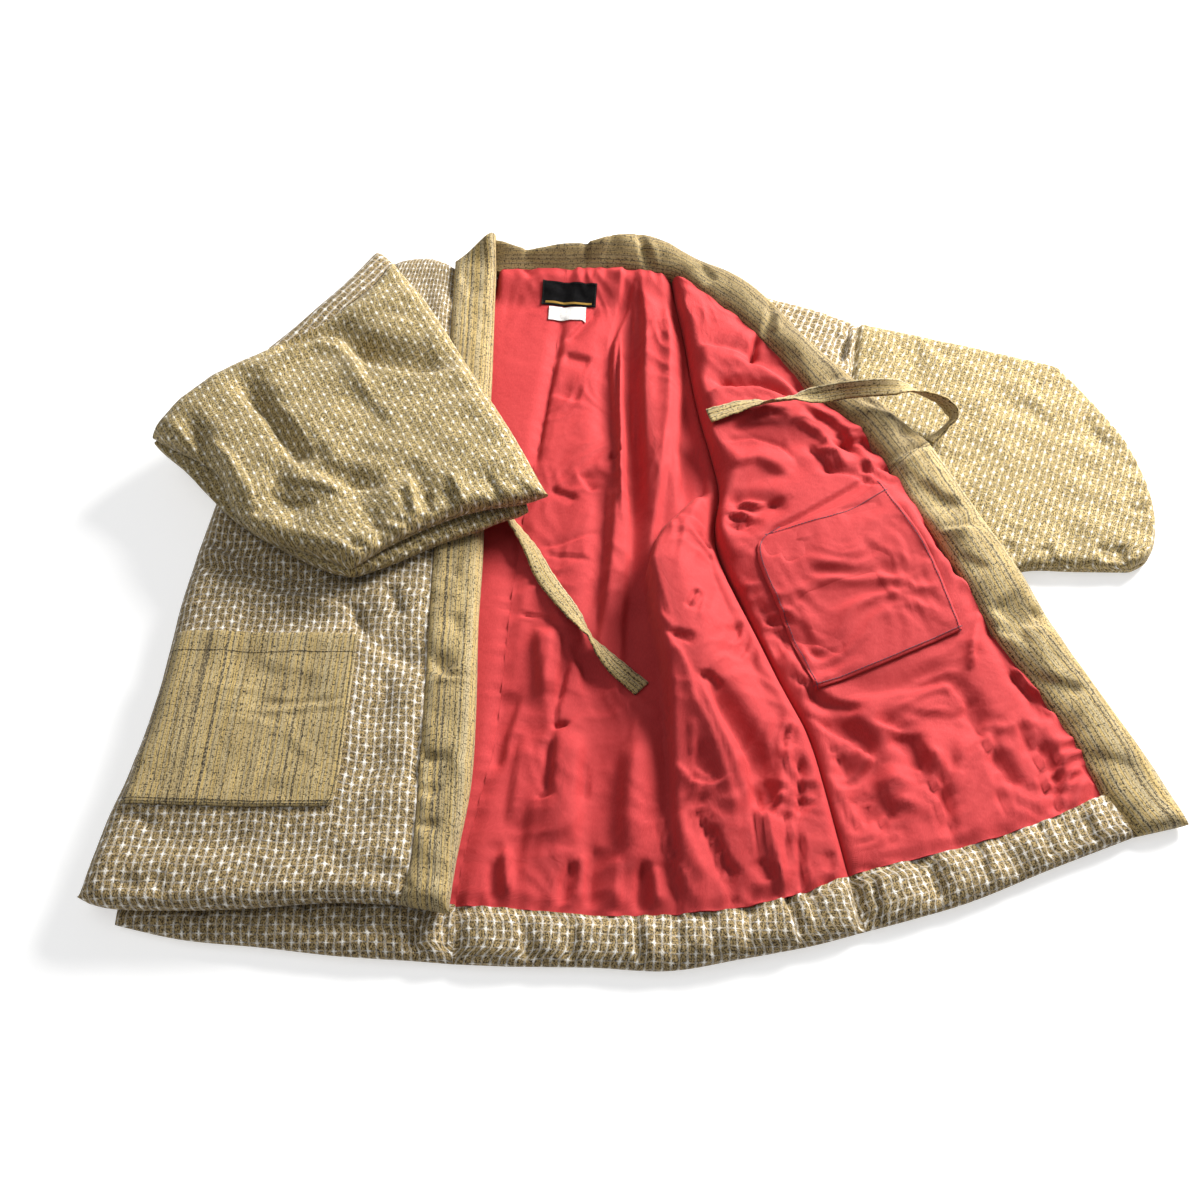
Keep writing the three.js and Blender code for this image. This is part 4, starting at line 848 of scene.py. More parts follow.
def closed_mesh(name, plan, top, base, uv, edges):
    """Closed piece over a grid: two faces and the walls between them."""
    ni, nj = top.shape
    x = (plan[..., 0] - MIDDLE[0]) / 1000
    y = (plan[..., 1] - MIDDLE[1]) / 1000
    faces_z = np.stack([base, top]) / 1000
    points = np.stack([np.broadcast_to(x, faces_z.shape), np.broadcast_to(y, faces_z.shape), faces_z], 3)
    number = np.arange(2 * ni * nj).reshape(2, ni, nj)

    def quads(a, b, c, d):
        return np.stack([a.ravel(), b.ravel(), c.ravel(), d.ravel()], 1)
    lo, hi = number
    rims = {"near": number[:, :, 0], "far": number[:, :, -1], "left": number[:, 0], "right": number[:, -1]}
    faces = [quads(hi[:-1, :-1], hi[1:, :-1], hi[1:, 1:], hi[:-1, 1:]),
             quads(lo[:-1, :-1], lo[:-1, 1:], lo[1:, 1:], lo[1:, :-1]),
             quads(hi[:-1, 0], lo[:-1, 0], lo[1:, 0], hi[1:, 0]),
             quads(hi[1:, -1], lo[1:, -1], lo[:-1, -1], hi[:-1, -1]),
             quads(hi[-1, :-1], lo[-1, :-1], lo[-1, 1:], hi[-1, 1:]),
             quads(hi[0, 1:], lo[0, 1:], lo[0, :-1], hi[0, :-1])]
    spots = np.broadcast_to(uv, (2, ni, nj, 2)).reshape(-1, 2)
    corners = []
    for quad, side in zip(faces, (None, None, "near", "far", "right", "left")):
        corner = spots[quad]
        if side:
            row = {"near": np.s_[:, :2], "far": np.s_[:, :-3:-1], "left": np.s_[:2], "right": np.s_[:-3:-1]}
            edge, inner = (np.moveaxis(uv[row[side]], 1 if side in ("near", "far") else 0, 0)[k] for k in (0, 1))
            rim = np.moveaxis((top - base)[row[side]], 1 if side in ("near", "far") else 0, 0)[0] / 1000
            out = edge - inner
            out = out / np.maximum(np.linalg.norm(out, axis=1, keepdims=True), 1e-9) * rim[:, None]
            moved = spots.copy()
            moved[rims[side][0]] += out
            corner = moved[quad]
        corners.append(corner)
    mesh = mesh_of(name, points.reshape(-1, 3), np.vstack(faces), np.vstack(corners).reshape(-1, 2))
    sharp = np.zeros(2 * ni * nj, int)
    for bit, (side, rim) in enumerate(rims.items()):
        if not ("round" in edges.get(side, {}) and "under" in edges.get(side, {})):
            sharp[rim.ravel()] |= 1 << bit
    ends = np.zeros(2 * len(mesh.edges), int)
    mesh.edges.foreach_get("vertices", ends)
    ends = ends.reshape(-1, 2)
    marks = (sharp[ends[:, 0]] & sharp[ends[:, 1]]) > 0
    mesh.attributes.new("sharp_edge", "BOOLEAN", "EDGE").data.foreach_set("value", marks)
    return mesh


def mesh_of(name, points, faces, corners):
    """Smooth mesh that carries its places on the flat cloth."""
    mesh = bpy.data.meshes.new(name)
    mesh.from_pydata(points.tolist(), [], faces.tolist())
    layer = mesh.uv_layers.new(name="cloth")
    layer.data.foreach_set("uv", corners.astype(np.float32).ravel())
    mesh.polygons.foreach_set("use_smooth", np.ones(len(mesh.polygons), bool))
    mesh.update()
    return mesh


def show(name, mesh, node):
    """Puts a finished piece in the scene, in place of its solid where it has one."""
    piece = bpy.data.objects.new(name, mesh)
    scene.collection.objects.link(piece)
    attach(piece, "root")
    if node:
        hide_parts(node)
    return piece


def sew(panel, material, slot, sheet=None, **grain):
    """A panel as a piece in its material, in place of its solid."""
    mesh = closed_mesh(panel.name, panel.plan, panel.top, panel.base, panel.grain(**grain), panel.edges)
    mesh.materials.append(material)
    piece = show(panel.name + "_cloth", mesh, panel.name)


def height_over(panels):
    """Function for the height of the topmost of these panels at plan points."""
    trees = []
    for p in panels:
        ni, nj = p.top.shape
        n = np.arange(ni * nj).reshape(ni, nj)
        points = np.dstack([p.plan, p.top]).reshape(-1, 3)
        quads = np.stack([n[:-1, :-1], n[1:, :-1], n[1:, 1:], n[:-1, 1:]], -1).reshape(-1, 4)
        trees.append(BVHTree.FromPolygons(points.tolist(), quads.tolist()))

    def height(x, y):
        out = np.full(np.shape(x), -1e3)
        for spot in np.ndindex(out.shape):
            for tree in trees:
                for aside in (-0.6, 0.6):   # two looks down, so that no seam is missed
                    hit = tree.ray_cast((float(x[spot]) + aside, float(y[spot]), 500.0), (0, 0, -1))[0]
                    if hit:
                        out[spot] = max(out[spot], hit[2])
        return out
    return height


# ---- cloth materials

class Cloth:
    """One cloth's material, built on its own flat coordinates in millimetres."""

    def __init__(self, name, roughness, sheen, sheen_tint=(1, 1, 1)):
        self.material = bpy.data.materials.new(name)
        self.material.use_nodes = True
        self.tree = self.material.node_tree
        self.shader = self.tree.nodes["Principled BSDF"]
        self.shader.inputs["Roughness"].default_value = roughness
        self.shader.inputs["Sheen Weight"].default_value = sheen
        self.shader.inputs["Sheen Roughness"].default_value = 0.45
        self.shader.inputs["Sheen Tint"].default_value = (*sheen_tint, 1)
        self.shader.inputs["Specular IOR Level"].default_value = 0.25
        spot = self.node("ShaderNodeUVMap", uv_map="cloth")
        self.spot = self.vector("SCALE", spot.outputs[0], scale=1000)

    def node(self, kind, **props):
        n = self.tree.nodes.new(kind)
        for key, value in props.items():
            setattr(n, key, value)
        return n

    def put(self, socket, value):
        if isinstance(value, bpy.types.NodeSocket):
            self.tree.links.new(value, socket)
        elif value is not None:
            if socket.type == "RGBA" and len(value) == 3:
                value = (*value, 1)
            socket.default_value = value

    def math(self, operation, *values):
        n = self.node("ShaderNodeMath", operation=operation)
        for socket, value in zip(n.inputs, values):
            self.put(socket, value)
        return n.outputs[0]

    def vector(self, operation, a, b=None, scale=None):
        n = self.node("ShaderNodeVectorMath", operation=operation)
        self.put(n.inputs[0], a)
        self.put(n.inputs[1], b)
        if scale is not None:
            n.inputs["Scale"].default_value = scale
        return n.outputs[0]

    def fade(self, value, low, high, start=1.0, end=0.0):
        n = self.node("ShaderNodeMapRange", interpolation_type="SMOOTHSTEP")
        for socket, v in zip(n.inputs, (value, low, high, start, end)):
            self.put(socket, v)
        return n.outputs[0]

    def blend(self, share, a, b):
        n = self.node("ShaderNodeMix", data_type="RGBA")
        self.put(n.inputs[0], share)
        self.put(n.inputs[6], a)
        self.put(n.inputs[7], b)
        return n.outputs[2]

    def noise(self, size, stretch=(1, 1), detail=2.0, colour=False, seed=0.0):
        """Noise with spots of about size mm, longer along the grain by stretch."""
        n = self.node("ShaderNodeTexNoise", noise_dimensions="3D")
        spot = self.vector("MULTIPLY", self.spot, (1 / stretch[0] / size, 1 / stretch[1] / size, 0))
        self.put(n.inputs["Vector"], self.vector("ADD", spot, (seed, seed * 0.7, seed)))
        n.inputs["Scale"].default_value = 1.0
        n.inputs["Detail"].default_value = detail
        return n.outputs["Color" if colour else "Fac"]

    def parts(self, wander=0.0, size=28):
        """U and V in mm, wandering a little as threads do."""
        spot = self.spot
        if wander:
            drift = self.vector("SUBTRACT", self.noise(size, colour=True), (0.5, 0.5, 0.5))
            spot = self.vector("ADD", spot, self.vector("SCALE", drift, scale=wander))
        n = self.node("ShaderNodeSeparateXYZ")
        self.put(n.inputs[0], spot)
        return n.outputs[0], n.outputs[1]

    def finish(self, colour, height, depth):
        self.put(self.shader.inputs["Base Color"], colour)
        bump = self.node("ShaderNodeBump")
        bump.inputs["Strength"].default_value = 0.6
        bump.inputs["Distance"].default_value = depth / 1000
        self.put(bump.inputs["Height"], height)
        self.put(self.shader.inputs["Normal"], bump.outputs[0])
        return self.material


def checked(name, ground, shade, yarn, warp, weft, wander):
    """Slubby cloth with a grid of pale yarns; every other crossing is a bright knot."""
    c = Cloth(name, 0.9, 0.15)
    u, v = c.parts(wander)
    a, b = c.math("DIVIDE", u, WARP_STEP), c.math("DIVIDE", v, WEFT_STEP)
    du = c.math("MULTIPLY", c.math("PINGPONG", a, 0.5), WARP_STEP)
    dv = c.math("MULTIPLY", c.math("PINGPONG", b, 0.5), WEFT_STEP)
    cell = c.math("ADD", c.math("FLOOR", c.math("ADD", a, 0.5)), c.math("FLOOR", c.math("ADD", b, 0.5)))
    bright = c.math("SUBTRACT", 1.0, c.math("PINGPONG", cell, 1.0))
    twist = c.math("SINE", c.math("ADD", c.math("MULTIPLY", v, math.tau / 2.9),
                                  c.math("MULTIPLY", u, math.tau / 2.1)))
    twist = c.fade(twist, -1, 0.6, 0.6, 1.0)
    fuzz = c.fade(c.noise(1.1, seed=3), 0.3, 0.55, 0.4, 1.0)
    thin = c.fade(c.noise(7, seed=13), 0.3, 0.7, 0.0, 0.7)
    upright = c.math("MULTIPLY", c.fade(c.math("ADD", du, thin), 0.75, 1.9), twist)
    lift = c.math("MULTIPLY", c.fade(dv, 0.8, 3.8), bright)
    upright = c.math("MULTIPLY", upright, c.math("MULTIPLY_ADD", lift, warp[1], warp[0]))
    across = c.math("MULTIPLY", c.fade(c.math("ADD", dv, thin), 0.5, 1.4),
                    c.math("MULTIPLY_ADD", c.math("MULTIPLY", c.fade(du, 0.8, 3.6), bright), weft[1], weft[0]))
    away = c.math("SQRT", c.math("ADD", c.math("MULTIPLY", c.math("MULTIPLY", du, du), 1.9),
                                 c.math("MULTIPLY", c.math("MULTIPLY", dv, dv), 0.6)))
    star = c.math("MULTIPLY", c.fade(c.math("ADD", away, thin), 0.9, 2.2), bright)
    pale = c.math("MINIMUM", c.math("MAXIMUM", c.math("MAXIMUM", upright, across), star), 1.0)
    pale = c.math("MULTIPLY", pale, c.math("MULTIPLY", fuzz, c.fade(c.noise(19, seed=31), 0.3, 0.62, 0.62, 1.0)))
    body = c.blend(c.fade(c.noise(1.7, (0.8, 1.3), 3, seed=1), 0.42, 0.6, 0, 1), ground, shade)
    body = c.blend(c.fade(c.noise(26, detail=1, seed=5), 0.3, 0.7, 0, 0.22), body, shade)
    body = c.blend(c.fade(c.noise(1.9, (0.7, 1.3), 2, seed=8), 0.56, 0.61, 0, 0.95), body, (0.018, 0.012, 0.008))
    body = c.blend(c.fade(c.noise(1.5, (1.6, 0.6), 2, seed=21), 0.6, 0.68, 0, 0.6), body, (0.5, 0.42, 0.25))
    colour = c.blend(pale, body, yarn)
    weave = c.math("MULTIPLY", c.math("SINE", c.math("MULTIPLY", u, math.tau / 0.9)),
                   c.math("SINE", c.math("MULTIPLY", v, math.tau / 0.9)))
    height = c.math("ADD", c.math("MULTIPLY_ADD", pale, 1.3, c.math("MULTIPLY", weave, 0.25)),
                    c.math("MULTIPLY", c.noise(5, seed=4), 1.2))
    return c.finish(colour, height, 0.5)


def striped(name, brown=(0, 0.3)):
    """Mustard cloth with thin uneven black warp stripes and slubs; brown is the share of its browner threads,
    and a large share darkens a piece as painted shade.
    """
    c = Cloth(name, 0.82, 0.12)
    u, v = c.parts(1.2, 40)
    lanes = c.node("ShaderNodeTexNoise", noise_dimensions="2D")
    lane = c.node("ShaderNodeCombineXYZ")
    c.put(lane.inputs[0], c.math("MULTIPLY", u, 0.42))
    c.put(lane.inputs[1], c.math("MULTIPLY", v, 0.0009))
    c.put(lanes.inputs["Vector"], lane.outputs[0])
    lanes.inputs["Scale"].default_value = 1.0
    lanes.inputs["Detail"].default_value = 3.0
    body = c.blend(c.fade(lanes.outputs[0], 0.4, 0.6, 0, 1), (0.54, 0.39, 0.14), (0.45, 0.38, 0.23))
    body = c.blend(c.fade(c.noise(1.2, (0.6, 1.6), 3, seed=2), 0.38, 0.66, 0, 0.75), body,
                   (0.26, 0.18, 0.07))
    # Browner threads spread at random; a large brown share here is painted shade rather than the cloth's own
    # colour.
    body = c.blend(c.fade(c.noise(34, (0.6, 1.6), 1, seed=12), 0.3, 0.75, *brown), body, (0.2, 0.14, 0.055))
    for pitch, shift, dark in ((5.3, 0.0, 0.9), (7.9, 0.37, 0.72)):
        wobble = c.math("MULTIPLY_ADD", c.noise(14, (0.2, 60), 1, seed=6 + shift), 1.4,
                        c.math("MULTIPLY_ADD", u, 1 / pitch, shift))
        near = c.math("MULTIPLY", c.math("PINGPONG", wobble, 0.5), pitch)
        broken = c.fade(c.noise(1.7, (0.8, 1.5), 2, seed=9 + shift), 0.4, 0.56, 0.15, 1.0)
        stripe = c.math("MULTIPLY", c.fade(near, 0.2, 0.8), broken)
        body = c.blend(c.math("MULTIPLY", stripe, dark), body, (0.028, 0.02, 0.015))
    for stretch, seed in (((2.0, 0.6), 11), ((0.6, 2.0), 17)):
        body = c.blend(c.fade(c.noise(2.0, stretch, 2, seed=seed), 0.605, 0.64, 0, 0.96), body,
                       (0.018, 0.014, 0.012))
    weave = c.math("SINE", c.math("MULTIPLY", v, math.tau / 0.8))
    height = c.math("ADD", c.math("MULTIPLY", weave, 0.3), c.math("MULTIPLY", c.noise(2.5, seed=4), 1.4))
    return c.finish(body, height, 0.35)


def lining_cotton(name):
    """Red cotton with a fine twill."""
    c = Cloth(name, 0.78, 0.12, (1, 0.3, 0.25))
    u, v = c.parts(0.6)
    twill = c.math("SINE", c.math("ADD", c.math("MULTIPLY", u, math.tau / 0.8),
                                  c.math("MULTIPLY", v, math.tau / 1.1)))
    body = c.blend(c.fade(c.noise(2.2, (0.5, 1.8), 3, seed=2), 0.3, 0.7, 0, 1), (0.44, 0.031, 0.034),
                   (0.37, 0.023, 0.025))
    body = c.blend(c.fade(c.noise(60, detail=2, seed=6), 0.3, 0.7, 0, 0.5), body, (0.475, 0.04, 0.041))
    body = c.blend(c.math("MULTIPLY_ADD", twill, 0.08, 0.08), body, (0.22, 0.01, 0.013))
    height = c.math("ADD", c.math("MULTIPLY", twill, 0.12), c.math("MULTIPLY", c.noise(9, seed=4), 2.2))
    return c.finish(body, height, 0.45)


def plain_woven(name, colour, other, roughness):
    """Label tape, plain but for its fine weave."""
    c = Cloth(name, roughness, 0.0)
    c.shader.inputs["Specular IOR Level"].default_value = 0.06
    u, v = c.parts()
    rib = c.math("MULTIPLY", c.math("SINE", c.math("MULTIPLY", u, math.tau / 0.7)),
                 c.math("SINE", c.math("MULTIPLY", v, math.tau / 0.5)))
    body = c.blend(c.fade(c.noise(3, seed=1), 0.3, 0.7, 0, 1), colour, other)
    return c.finish(body, rib, 0.1)


BODY = checked("body check cloth", (0.4, 0.285, 0.12), (0.075, 0.05, 0.02), (0.95, 0.92, 0.86),
               (0.42, 0.66), (0.2, 0.72), 3.6)
SLEEVE = checked("sleeve check cloth", (0.47, 0.35, 0.138), (0.12, 0.084, 0.03), (0.95, 0.92, 0.82),
                 (0.2, 0.4), (0.06, 0.3), 2.6)
STRIPE = striped("striped band cloth")
# The neck collar's cloth takes a large brown share: painted shade, darkening the collar where its face turns
# away from the light.
NECK_STRIPE_PAINTED_SHADE = striped("striped band cloth of the neck, painted shade", (0.55, 0.86))
RED = lining_cotton("red lining cotton")
BLACK = plain_woven("black label weave", (0.002, 0.002, 0.0025), (0.0045, 0.004, 0.0045), 0.75)
WHITE = plain_woven("white tape", (0.62, 0.61, 0.6), (0.5, 0.49, 0.48), 0.6)


# ---- back and its lining

centre_back, side_seam = smooth(CENTRE_BACK), smooth(SIDE_SEAM)
back_side = smooth(BACK_SIDE)
turn_closed, turn_back, turn_open = smooth(TURN_CLOSED), smooth(TURN_BACK), smooth(TURN_OPEN)
neck_closed, neck_back, neck_front = (smooth(t) for t in
                                      (NECK_SEAM_CLOSED, NECK_SEAM_BACK, NECK_SEAM_FRONT))
band_open, band_hem, band_closed = smooth(BAND_SEAM_OPEN), smooth(BAND_SEAM_HEM), smooth(BAND_SEAM)


def back_stack(x, y, p):
    inside = ease((x + 112) / 20) * ease((side_x(y) - x) / 16)
    creases = settle(fold_height(BACK_FOLDS, x, y) + CREASE_BOOST["back"] * crease_height(BACK_CREASES, x, y))
    on_ridge = settle(CREASE_BOOST["ridge"] * crease_height(RIDGE_CREASES, x, y), 22)
    return BACK_TOP + ridge_height(x, y) + creases * inside + on_ridge \
        + crumple(x, y, 30, 1.6 + 1.6 * ease((x - 55) / 25) * ease((130 - y) / 60), 5) * inside \
        + NECK_RISE * ease((y - 385) / 45)


# The shells of outer cloth and wadding keep clear of the lining that lies on them
SHELL = dict(drop=LINING + SEAM_GAP + 2, cell=4.5)
LINED = dict(wall=LINING, cell=2.5)
back_open = (turn_back, smooth(NECK_SEAM_BACK), centre_back, side_seam)
back_open_edges = {"left": dict(dent=2, gather=(22, 0.8, 10)), "near": dict(dent=2.5, gather=(26, 1.6, 16)),
                   "far": dict(dent=2, gather=(16, 1.2, 14)),
                   "right": dict(round=lambda x, y, p: 14 + 16 * ease((y - 40) / 60) * ease((330 - y) / 60),
                                 seat=8.5, inset=0)}
sew(Panel("back_open_side", back_open, back_stack, edges=back_open_edges, **SHELL), BODY, "body_check")
lining_back_open = Panel("lining_back_open_side", back_open, back_stack, edges=back_open_edges, **LINED)
sew(lining_back_open, RED, "lining",
    sheet=dict(flat=(0.30, 0.78), held="laid", rests_on=["back_open_side"]))

far_closed = joined(smooth([[-216, 426], [-166, 430], [-117, 431]]), neck_closed)
back_closed = (turn_closed, far_closed, back_side, centre_back)


def back_closed_stack(x, y, p):
    creases = settle(fold_height(BACK_FOLDS, x, y) + CREASE_BOOST["back"] * crease_height(BACK_CREASES, x, y))
    return BACK_TOP + (creases + crumple(x, y, 34, 1.4, 9)) * ease((x + 112) / 20) \
        + NECK_RISE * ease((y - 385) / 45) * ease((x + 119) / 6)


back_closed_edges = {"left": dict(round=12, seat=8, under=6), "near": dict(dent=2.5, gather=(26, 1.2, 14)),
                     "right": dict(dent=2, gather=(22, 0.8, 10)), "far": dict(dent=1)}
sew(Panel("back_closed_side", back_closed, back_closed_stack, edges=back_closed_edges, **SHELL),
    BODY, "body_check")
lining_back_closed = Panel("lining_back_closed_side", back_closed, back_closed_stack,
                           edges={**back_closed_edges, "left": dict(dent=0)}, wall=LINING, cell=4)
sew(lining_back_closed, RED, "lining",
    sheet=dict(flat=(0.30, 0.78), area=0.2, held="laid", rests_on=["back_closed_side"]))


# ---- hem turn-ups

def hem_stack(x, y, p):
    return HEM_TOP + ridge_height(x, np.maximum(y, -318)) * 0.6 + fold_height(HEM_FOLDS, x, y) \
        + crease_height(HEM_CREASES, x, y)


hem_edges = {"near": dict(round=18, seat=8, under=9), "far": dict(dent=3.5, gather=(18, 1.2, 10))}
hem_closed_end = smooth([[-424, -344], [-424, -326]])
hem_centre = smooth([[-127, -379], [-127, -328]])
hem_side = smooth([[232, -350], [226, -324], [221, -300]])
hem_band = smooth([[483, -261], [461, -221]])
HEM = dict(rough=(24, 0.9), cell=2.6)
sew(Panel("hem_back_closed_side", (smooth(HEM_CLOSED), turn_closed, hem_closed_end, hem_centre),
          lambda x, y, p: mix(17, 19.5, ease((x + 424) / 60)) + fold_height(HEM_FOLDS, x, y)
          + crease_height(HEM_CREASES, x, y),
          edges={**hem_edges, "far": dict(dent=0.5), "left": dict(round=12, seat=8, under=6)}, **HEM),
    BODY, "body_check")
sew(Panel("hem_back_open_side", (smooth(HEM_BACK), turn_back, hem_centre, hem_side), hem_stack,
          edges={**hem_edges, "left": dict(dent=2), "right": dict(dent=3)}, **HEM), BODY, "body_check", angle=-2)
sew(Panel("hem_open_front", (smooth(HEM_OPEN), turn_open, hem_side, hem_band), hem_stack,
          edges={**hem_edges, "left": dict(dent=3), "right": dict(dent=3)}, **HEM), BODY, "body_check",
    angle=17)


# ---- open front

def open_stack(x, y, p):
    creases = fold_height(OPEN_FOLDS, x, y) + CREASE_BOOST["open"] * crease_height(OPEN_CREASES, x, y) \
        + crumple(x, y, 32, 2.6 * ease((100 - y) / 200) + 1.2, 2)
    return OPEN_LOW + OPEN_RISE * ease((y + 120) / 200) + creases * ease((x - side_x(y)) / 22)


open_front = (turn_open, smooth([[82, 424], [95, 417]]), side_seam, joined(neck_front, band_open)[::-1])
open_edges = {"left": dict(round=lambda x, y, p: 15 + 9 * lumps(0 * x, y, 34, 1, 4) * ease((y + 120) / 80),
                           seat=8.5, inset=0), "near": dict(dent=2.5, gather=(34, 1.8, 18)),
              "right": dict(dent=5, over=20, gather=(37, 1.3, 20))}
front_open = Panel("front_open", open_front, open_stack, edges=open_edges, **SHELL)
sew(front_open, BODY, "body_check")
lining_front_open = Panel("lining_front_open", open_front, open_stack, edges=open_edges, **LINED)
sew(lining_front_open, RED, "lining",
    sheet=dict(flat=(0.36, 0.78), area=0.17, held="laid", rests_on=["front_open"]))


# ---- closed front and its collar

def closed_lower(x, y, p):
    return BACK_TOP + LAY_GAP + 4 * ease((-296 - y) / 24)


front_closed = Panel("front_closed", (
    smooth(FRONT_HEM), smooth([[-243, 440], [-196, 449], [-165, 434]]), smooth(SIDE_FOLD), band_closed),
    lambda x, y, p: CLOSED_TOP - 6 * ease((y - 340) / 80) + fold_height(CLOSED_FOLDS, x, y)
    + crease_height(CLOSED_CREASES, x, y),
    lambda x, y, p: mix(1.5, closed_lower(x, y, p), ease((p.away["left"] - 8) / 16)),
    {"left": dict(round=26, seat=15, under=14), "near": dict(round=15, seat=27, under=14),
     "far": dict(round=12, seat=28), "right": dict(dent=3, gather=(24, 0.8, 10))}, rough=(30, 1.0))
sew(front_closed, BODY, "body_check", origin=(-165, -333), follow=0.5)
collar_closed = Panel("collar_closed", (
    smooth([[-173, -333], [-131, -341]]), smooth([[-165, 434], [-119, 464]]), band_closed, smooth(FREE_EDGE)),
    lambda x, y, p: 43 + 20 * ease((y - 415) / 45) * ease((x + 165) / 40)
    + crease_height(BAND_CREASES, x, y), closed_lower,
    {"left": dict(round=12, seat=37, gather=(30, 1.0, 12)), "near": dict(round=15, seat=26, under=9),
     "far": dict(round=8, seat=lambda x, y, p: 40 + 17 * ease((x + 165) / 40), under=8),
     "right": dict(round=lambda x, y, p: 15 - 8 * ease((y - 400) / 50),
                   seat=lambda x, y, p: 29 + 20 * ease((y - 415) / 40),
                   under=lambda x, y, p: 9 - 8.9 * ease((y - 395) / 25))}, rough=(26, 0.8))
sew(collar_closed, STRIPE, "stripe_cloth", origin=(-120, 0))


# ---- collar of the neck and the open front

def collar(name, inner, outer, ends, start, cloth=STRIPE, **extra):
    def neck(p):
        return ease((0.25 - start - p.run_u[:, :1] / COLLAR_RUN) / 0.2)

    def lie(column):
        def height(x, y, p):
            along = start + p.run_u[:, :1] / COLLAR_RUN + 0 * x
            return np.interp(along, COLLAR_LIE[:, 0], COLLAR_LIE[:, column]) \
                + NECK_STANDS * (column == 1) * neck(p)
        return height

    short_ends = [smooth([inner[k], outer[k]]) for k in (0, -1)]
    panel = Panel(name, (inner, outer, *short_ends),
                  lambda x, y, p: lie(1)(x, y, p) + crease_height(COLLAR_CREASES, x, y),
                  lambda x, y, p: lie(2)(x, y, p) * ease((p.away["near"] - 3) / 6),
                  {**ends, "near": dict(round=lambda x, y, p: 22 + 18 * neck(p),
                                        seat=lambda x, y, p: lie(1)(x, y, p) - 14 - 24 * neck(p),
                                        slope=lambda x, y, p: 0.3 + 0.75 * neck(p),
                                        gather=(34, 1.6, 14)),
                   "far": dict(round=lambda x, y, p: 18 - 9 * neck(p), under=9,
                               seat=lambda x, y, p: mix(lie(2)(x, y, p), lie(1)(x, y, p), 0.45))},
                  paired=True, rough=(28, 1.1), **extra)
    sew(panel, cloth, "stripe_cloth", band=True)
    return panel, start + arc(inner)[-1] / COLLAR_RUN


neck_inner = joined(neck_closed, neck_back)
front_inner = joined(np.array([[82.0, 424], [95, 417]]), neck_front)
neck_inner[0, 0] -= PEAK_REACH
neck_line = joined(neck_inner, front_inner)
neck_edge = joined(at_shares_of(smooth(COLLAR_EDGE_NECK), neck_inner),
                   at_shares_of(smooth(COLLAR_EDGE_FRONT), front_inner))
neck_edge[0, 0] -= PEAK_REACH
# The neck collar is cut from the stripe cloth with painted shade.
collar_neck, neck_end = collar("collar_neck", neck_line, neck_edge,
                               {"left": dict(dent=2), "right": dict(dent=2, over=10)}, 0, NECK_STRIPE_PAINTED_SHADE)
lower_line = joined(band_open, band_hem)
collar_open, _ = collar("collar_open_lower", lower_line, at_shares_of(smooth(COLLAR_EDGE_OPEN), lower_line),
                        {"left": dict(dent=2, over=10), "right": dict(round=12, seat=9, under=6)}, neck_end)


# ---- sleeve folded over the closed front

def sag(x):
    return 12 * ease((x + 112) / 50) + 16 * ease((-405 - x) / 50)


def part(x):
    return LAY_GAP + 2.2 * (ease((x + 150) / 30) + ease((-365 - x) / 30))


def lower_seat(x, y, p):
    return 56 - 0.8 * sag(x)


GRAIN_FOLDED = dict(angle=27.6, origin=(-237, 412), ease_in=0.4)
sleeve_closed_lower = Panel("sleeve_closed_lower", (
    smooth(FOLDED_LOWER["near"]), smooth(FOLDED_LOWER["far"]), smooth(FOLDED_LOWER["turn"]),
    smooth(FOLDED_LOWER["cuff"])),
    lambda x, y, p: FOLDED_SPLIT - part(x) - 0.7 * sag(x), lambda x, y, p: FOLDED_BASE - sag(x),
    {"near": dict(seat=lower_seat, under=12), "far": dict(seat=lower_seat, under=16),
     "left": dict(seat=lower_seat, under=14),
     "right": dict(round=10, seat=lambda x, y, p: 52 - 0.8 * sag(x), under=8, gather=(22, 1.5, 14))})
sew(sleeve_closed_lower, SLEEVE, "sleeve_check", **GRAIN_FOLDED)


def upper_seat(x, y, p):
    return FOLDED_SPLIT + 2 - 0.7 * sag(x)


armhole_closed = smooth(FOLDED_UPPER["armhole"])
sleeve_closed_upper = Panel("sleeve_closed_upper", (
    smooth(FOLDED_UPPER["near"]), smooth(FOLDED_UPPER["far"]),
    joined(smooth(FOLDED_UPPER["turn"]), armhole_closed), smooth(FOLDED_UPPER["cuff"])),
    lambda x, y, p: FOLDED_TOP - 0.3 * sag(x) + fold_height(SLEEVE_FOLDS, x, y)
    + crease_height(SLEEVE_CREASES, x, y),
    lambda x, y, p: FOLDED_SPLIT - 0.7 * sag(x),
    {"near": dict(round=16, seat=upper_seat), "far": dict(round=22, seat=upper_seat),
     "left": dict(round=14, seat=lambda x, y, p: upper_seat(x, y, p) + 12 * ease((y - 262) / 30)),
     "right": dict(round=12, seat=lambda x, y, p: 69 - 0.5 * sag(x), under=7, gather=(24, 2.0, 18))},
    rough=(26, 1.1))
sew(sleeve_closed_upper, SLEEVE, "sleeve_check", **GRAIN_FOLDED)
flap = Panel("shoulder_closed_flap", (
    smooth([[-354, 279], [-351, 275]]), smooth([[-248, 422], [-228, 399]]), smooth(FOLDED_UPPER["flap"]),
    armhole_closed),
    lambda x, y, p: mix(70, FOLDED_TOP - 4, ease((y - 280) / 60)), lambda x, y, p: FOLDED_SPLIT + 0 * x,
    {"left": dict(round=14, seat=FOLDED_SPLIT + 4), "far": dict(round=12, seat=FOLDED_SPLIT + 4)}, cell=2)
sew(flap, BODY, "body_check", angle=-35)


# ---- open side: shoulder and sleeve under the flipped front

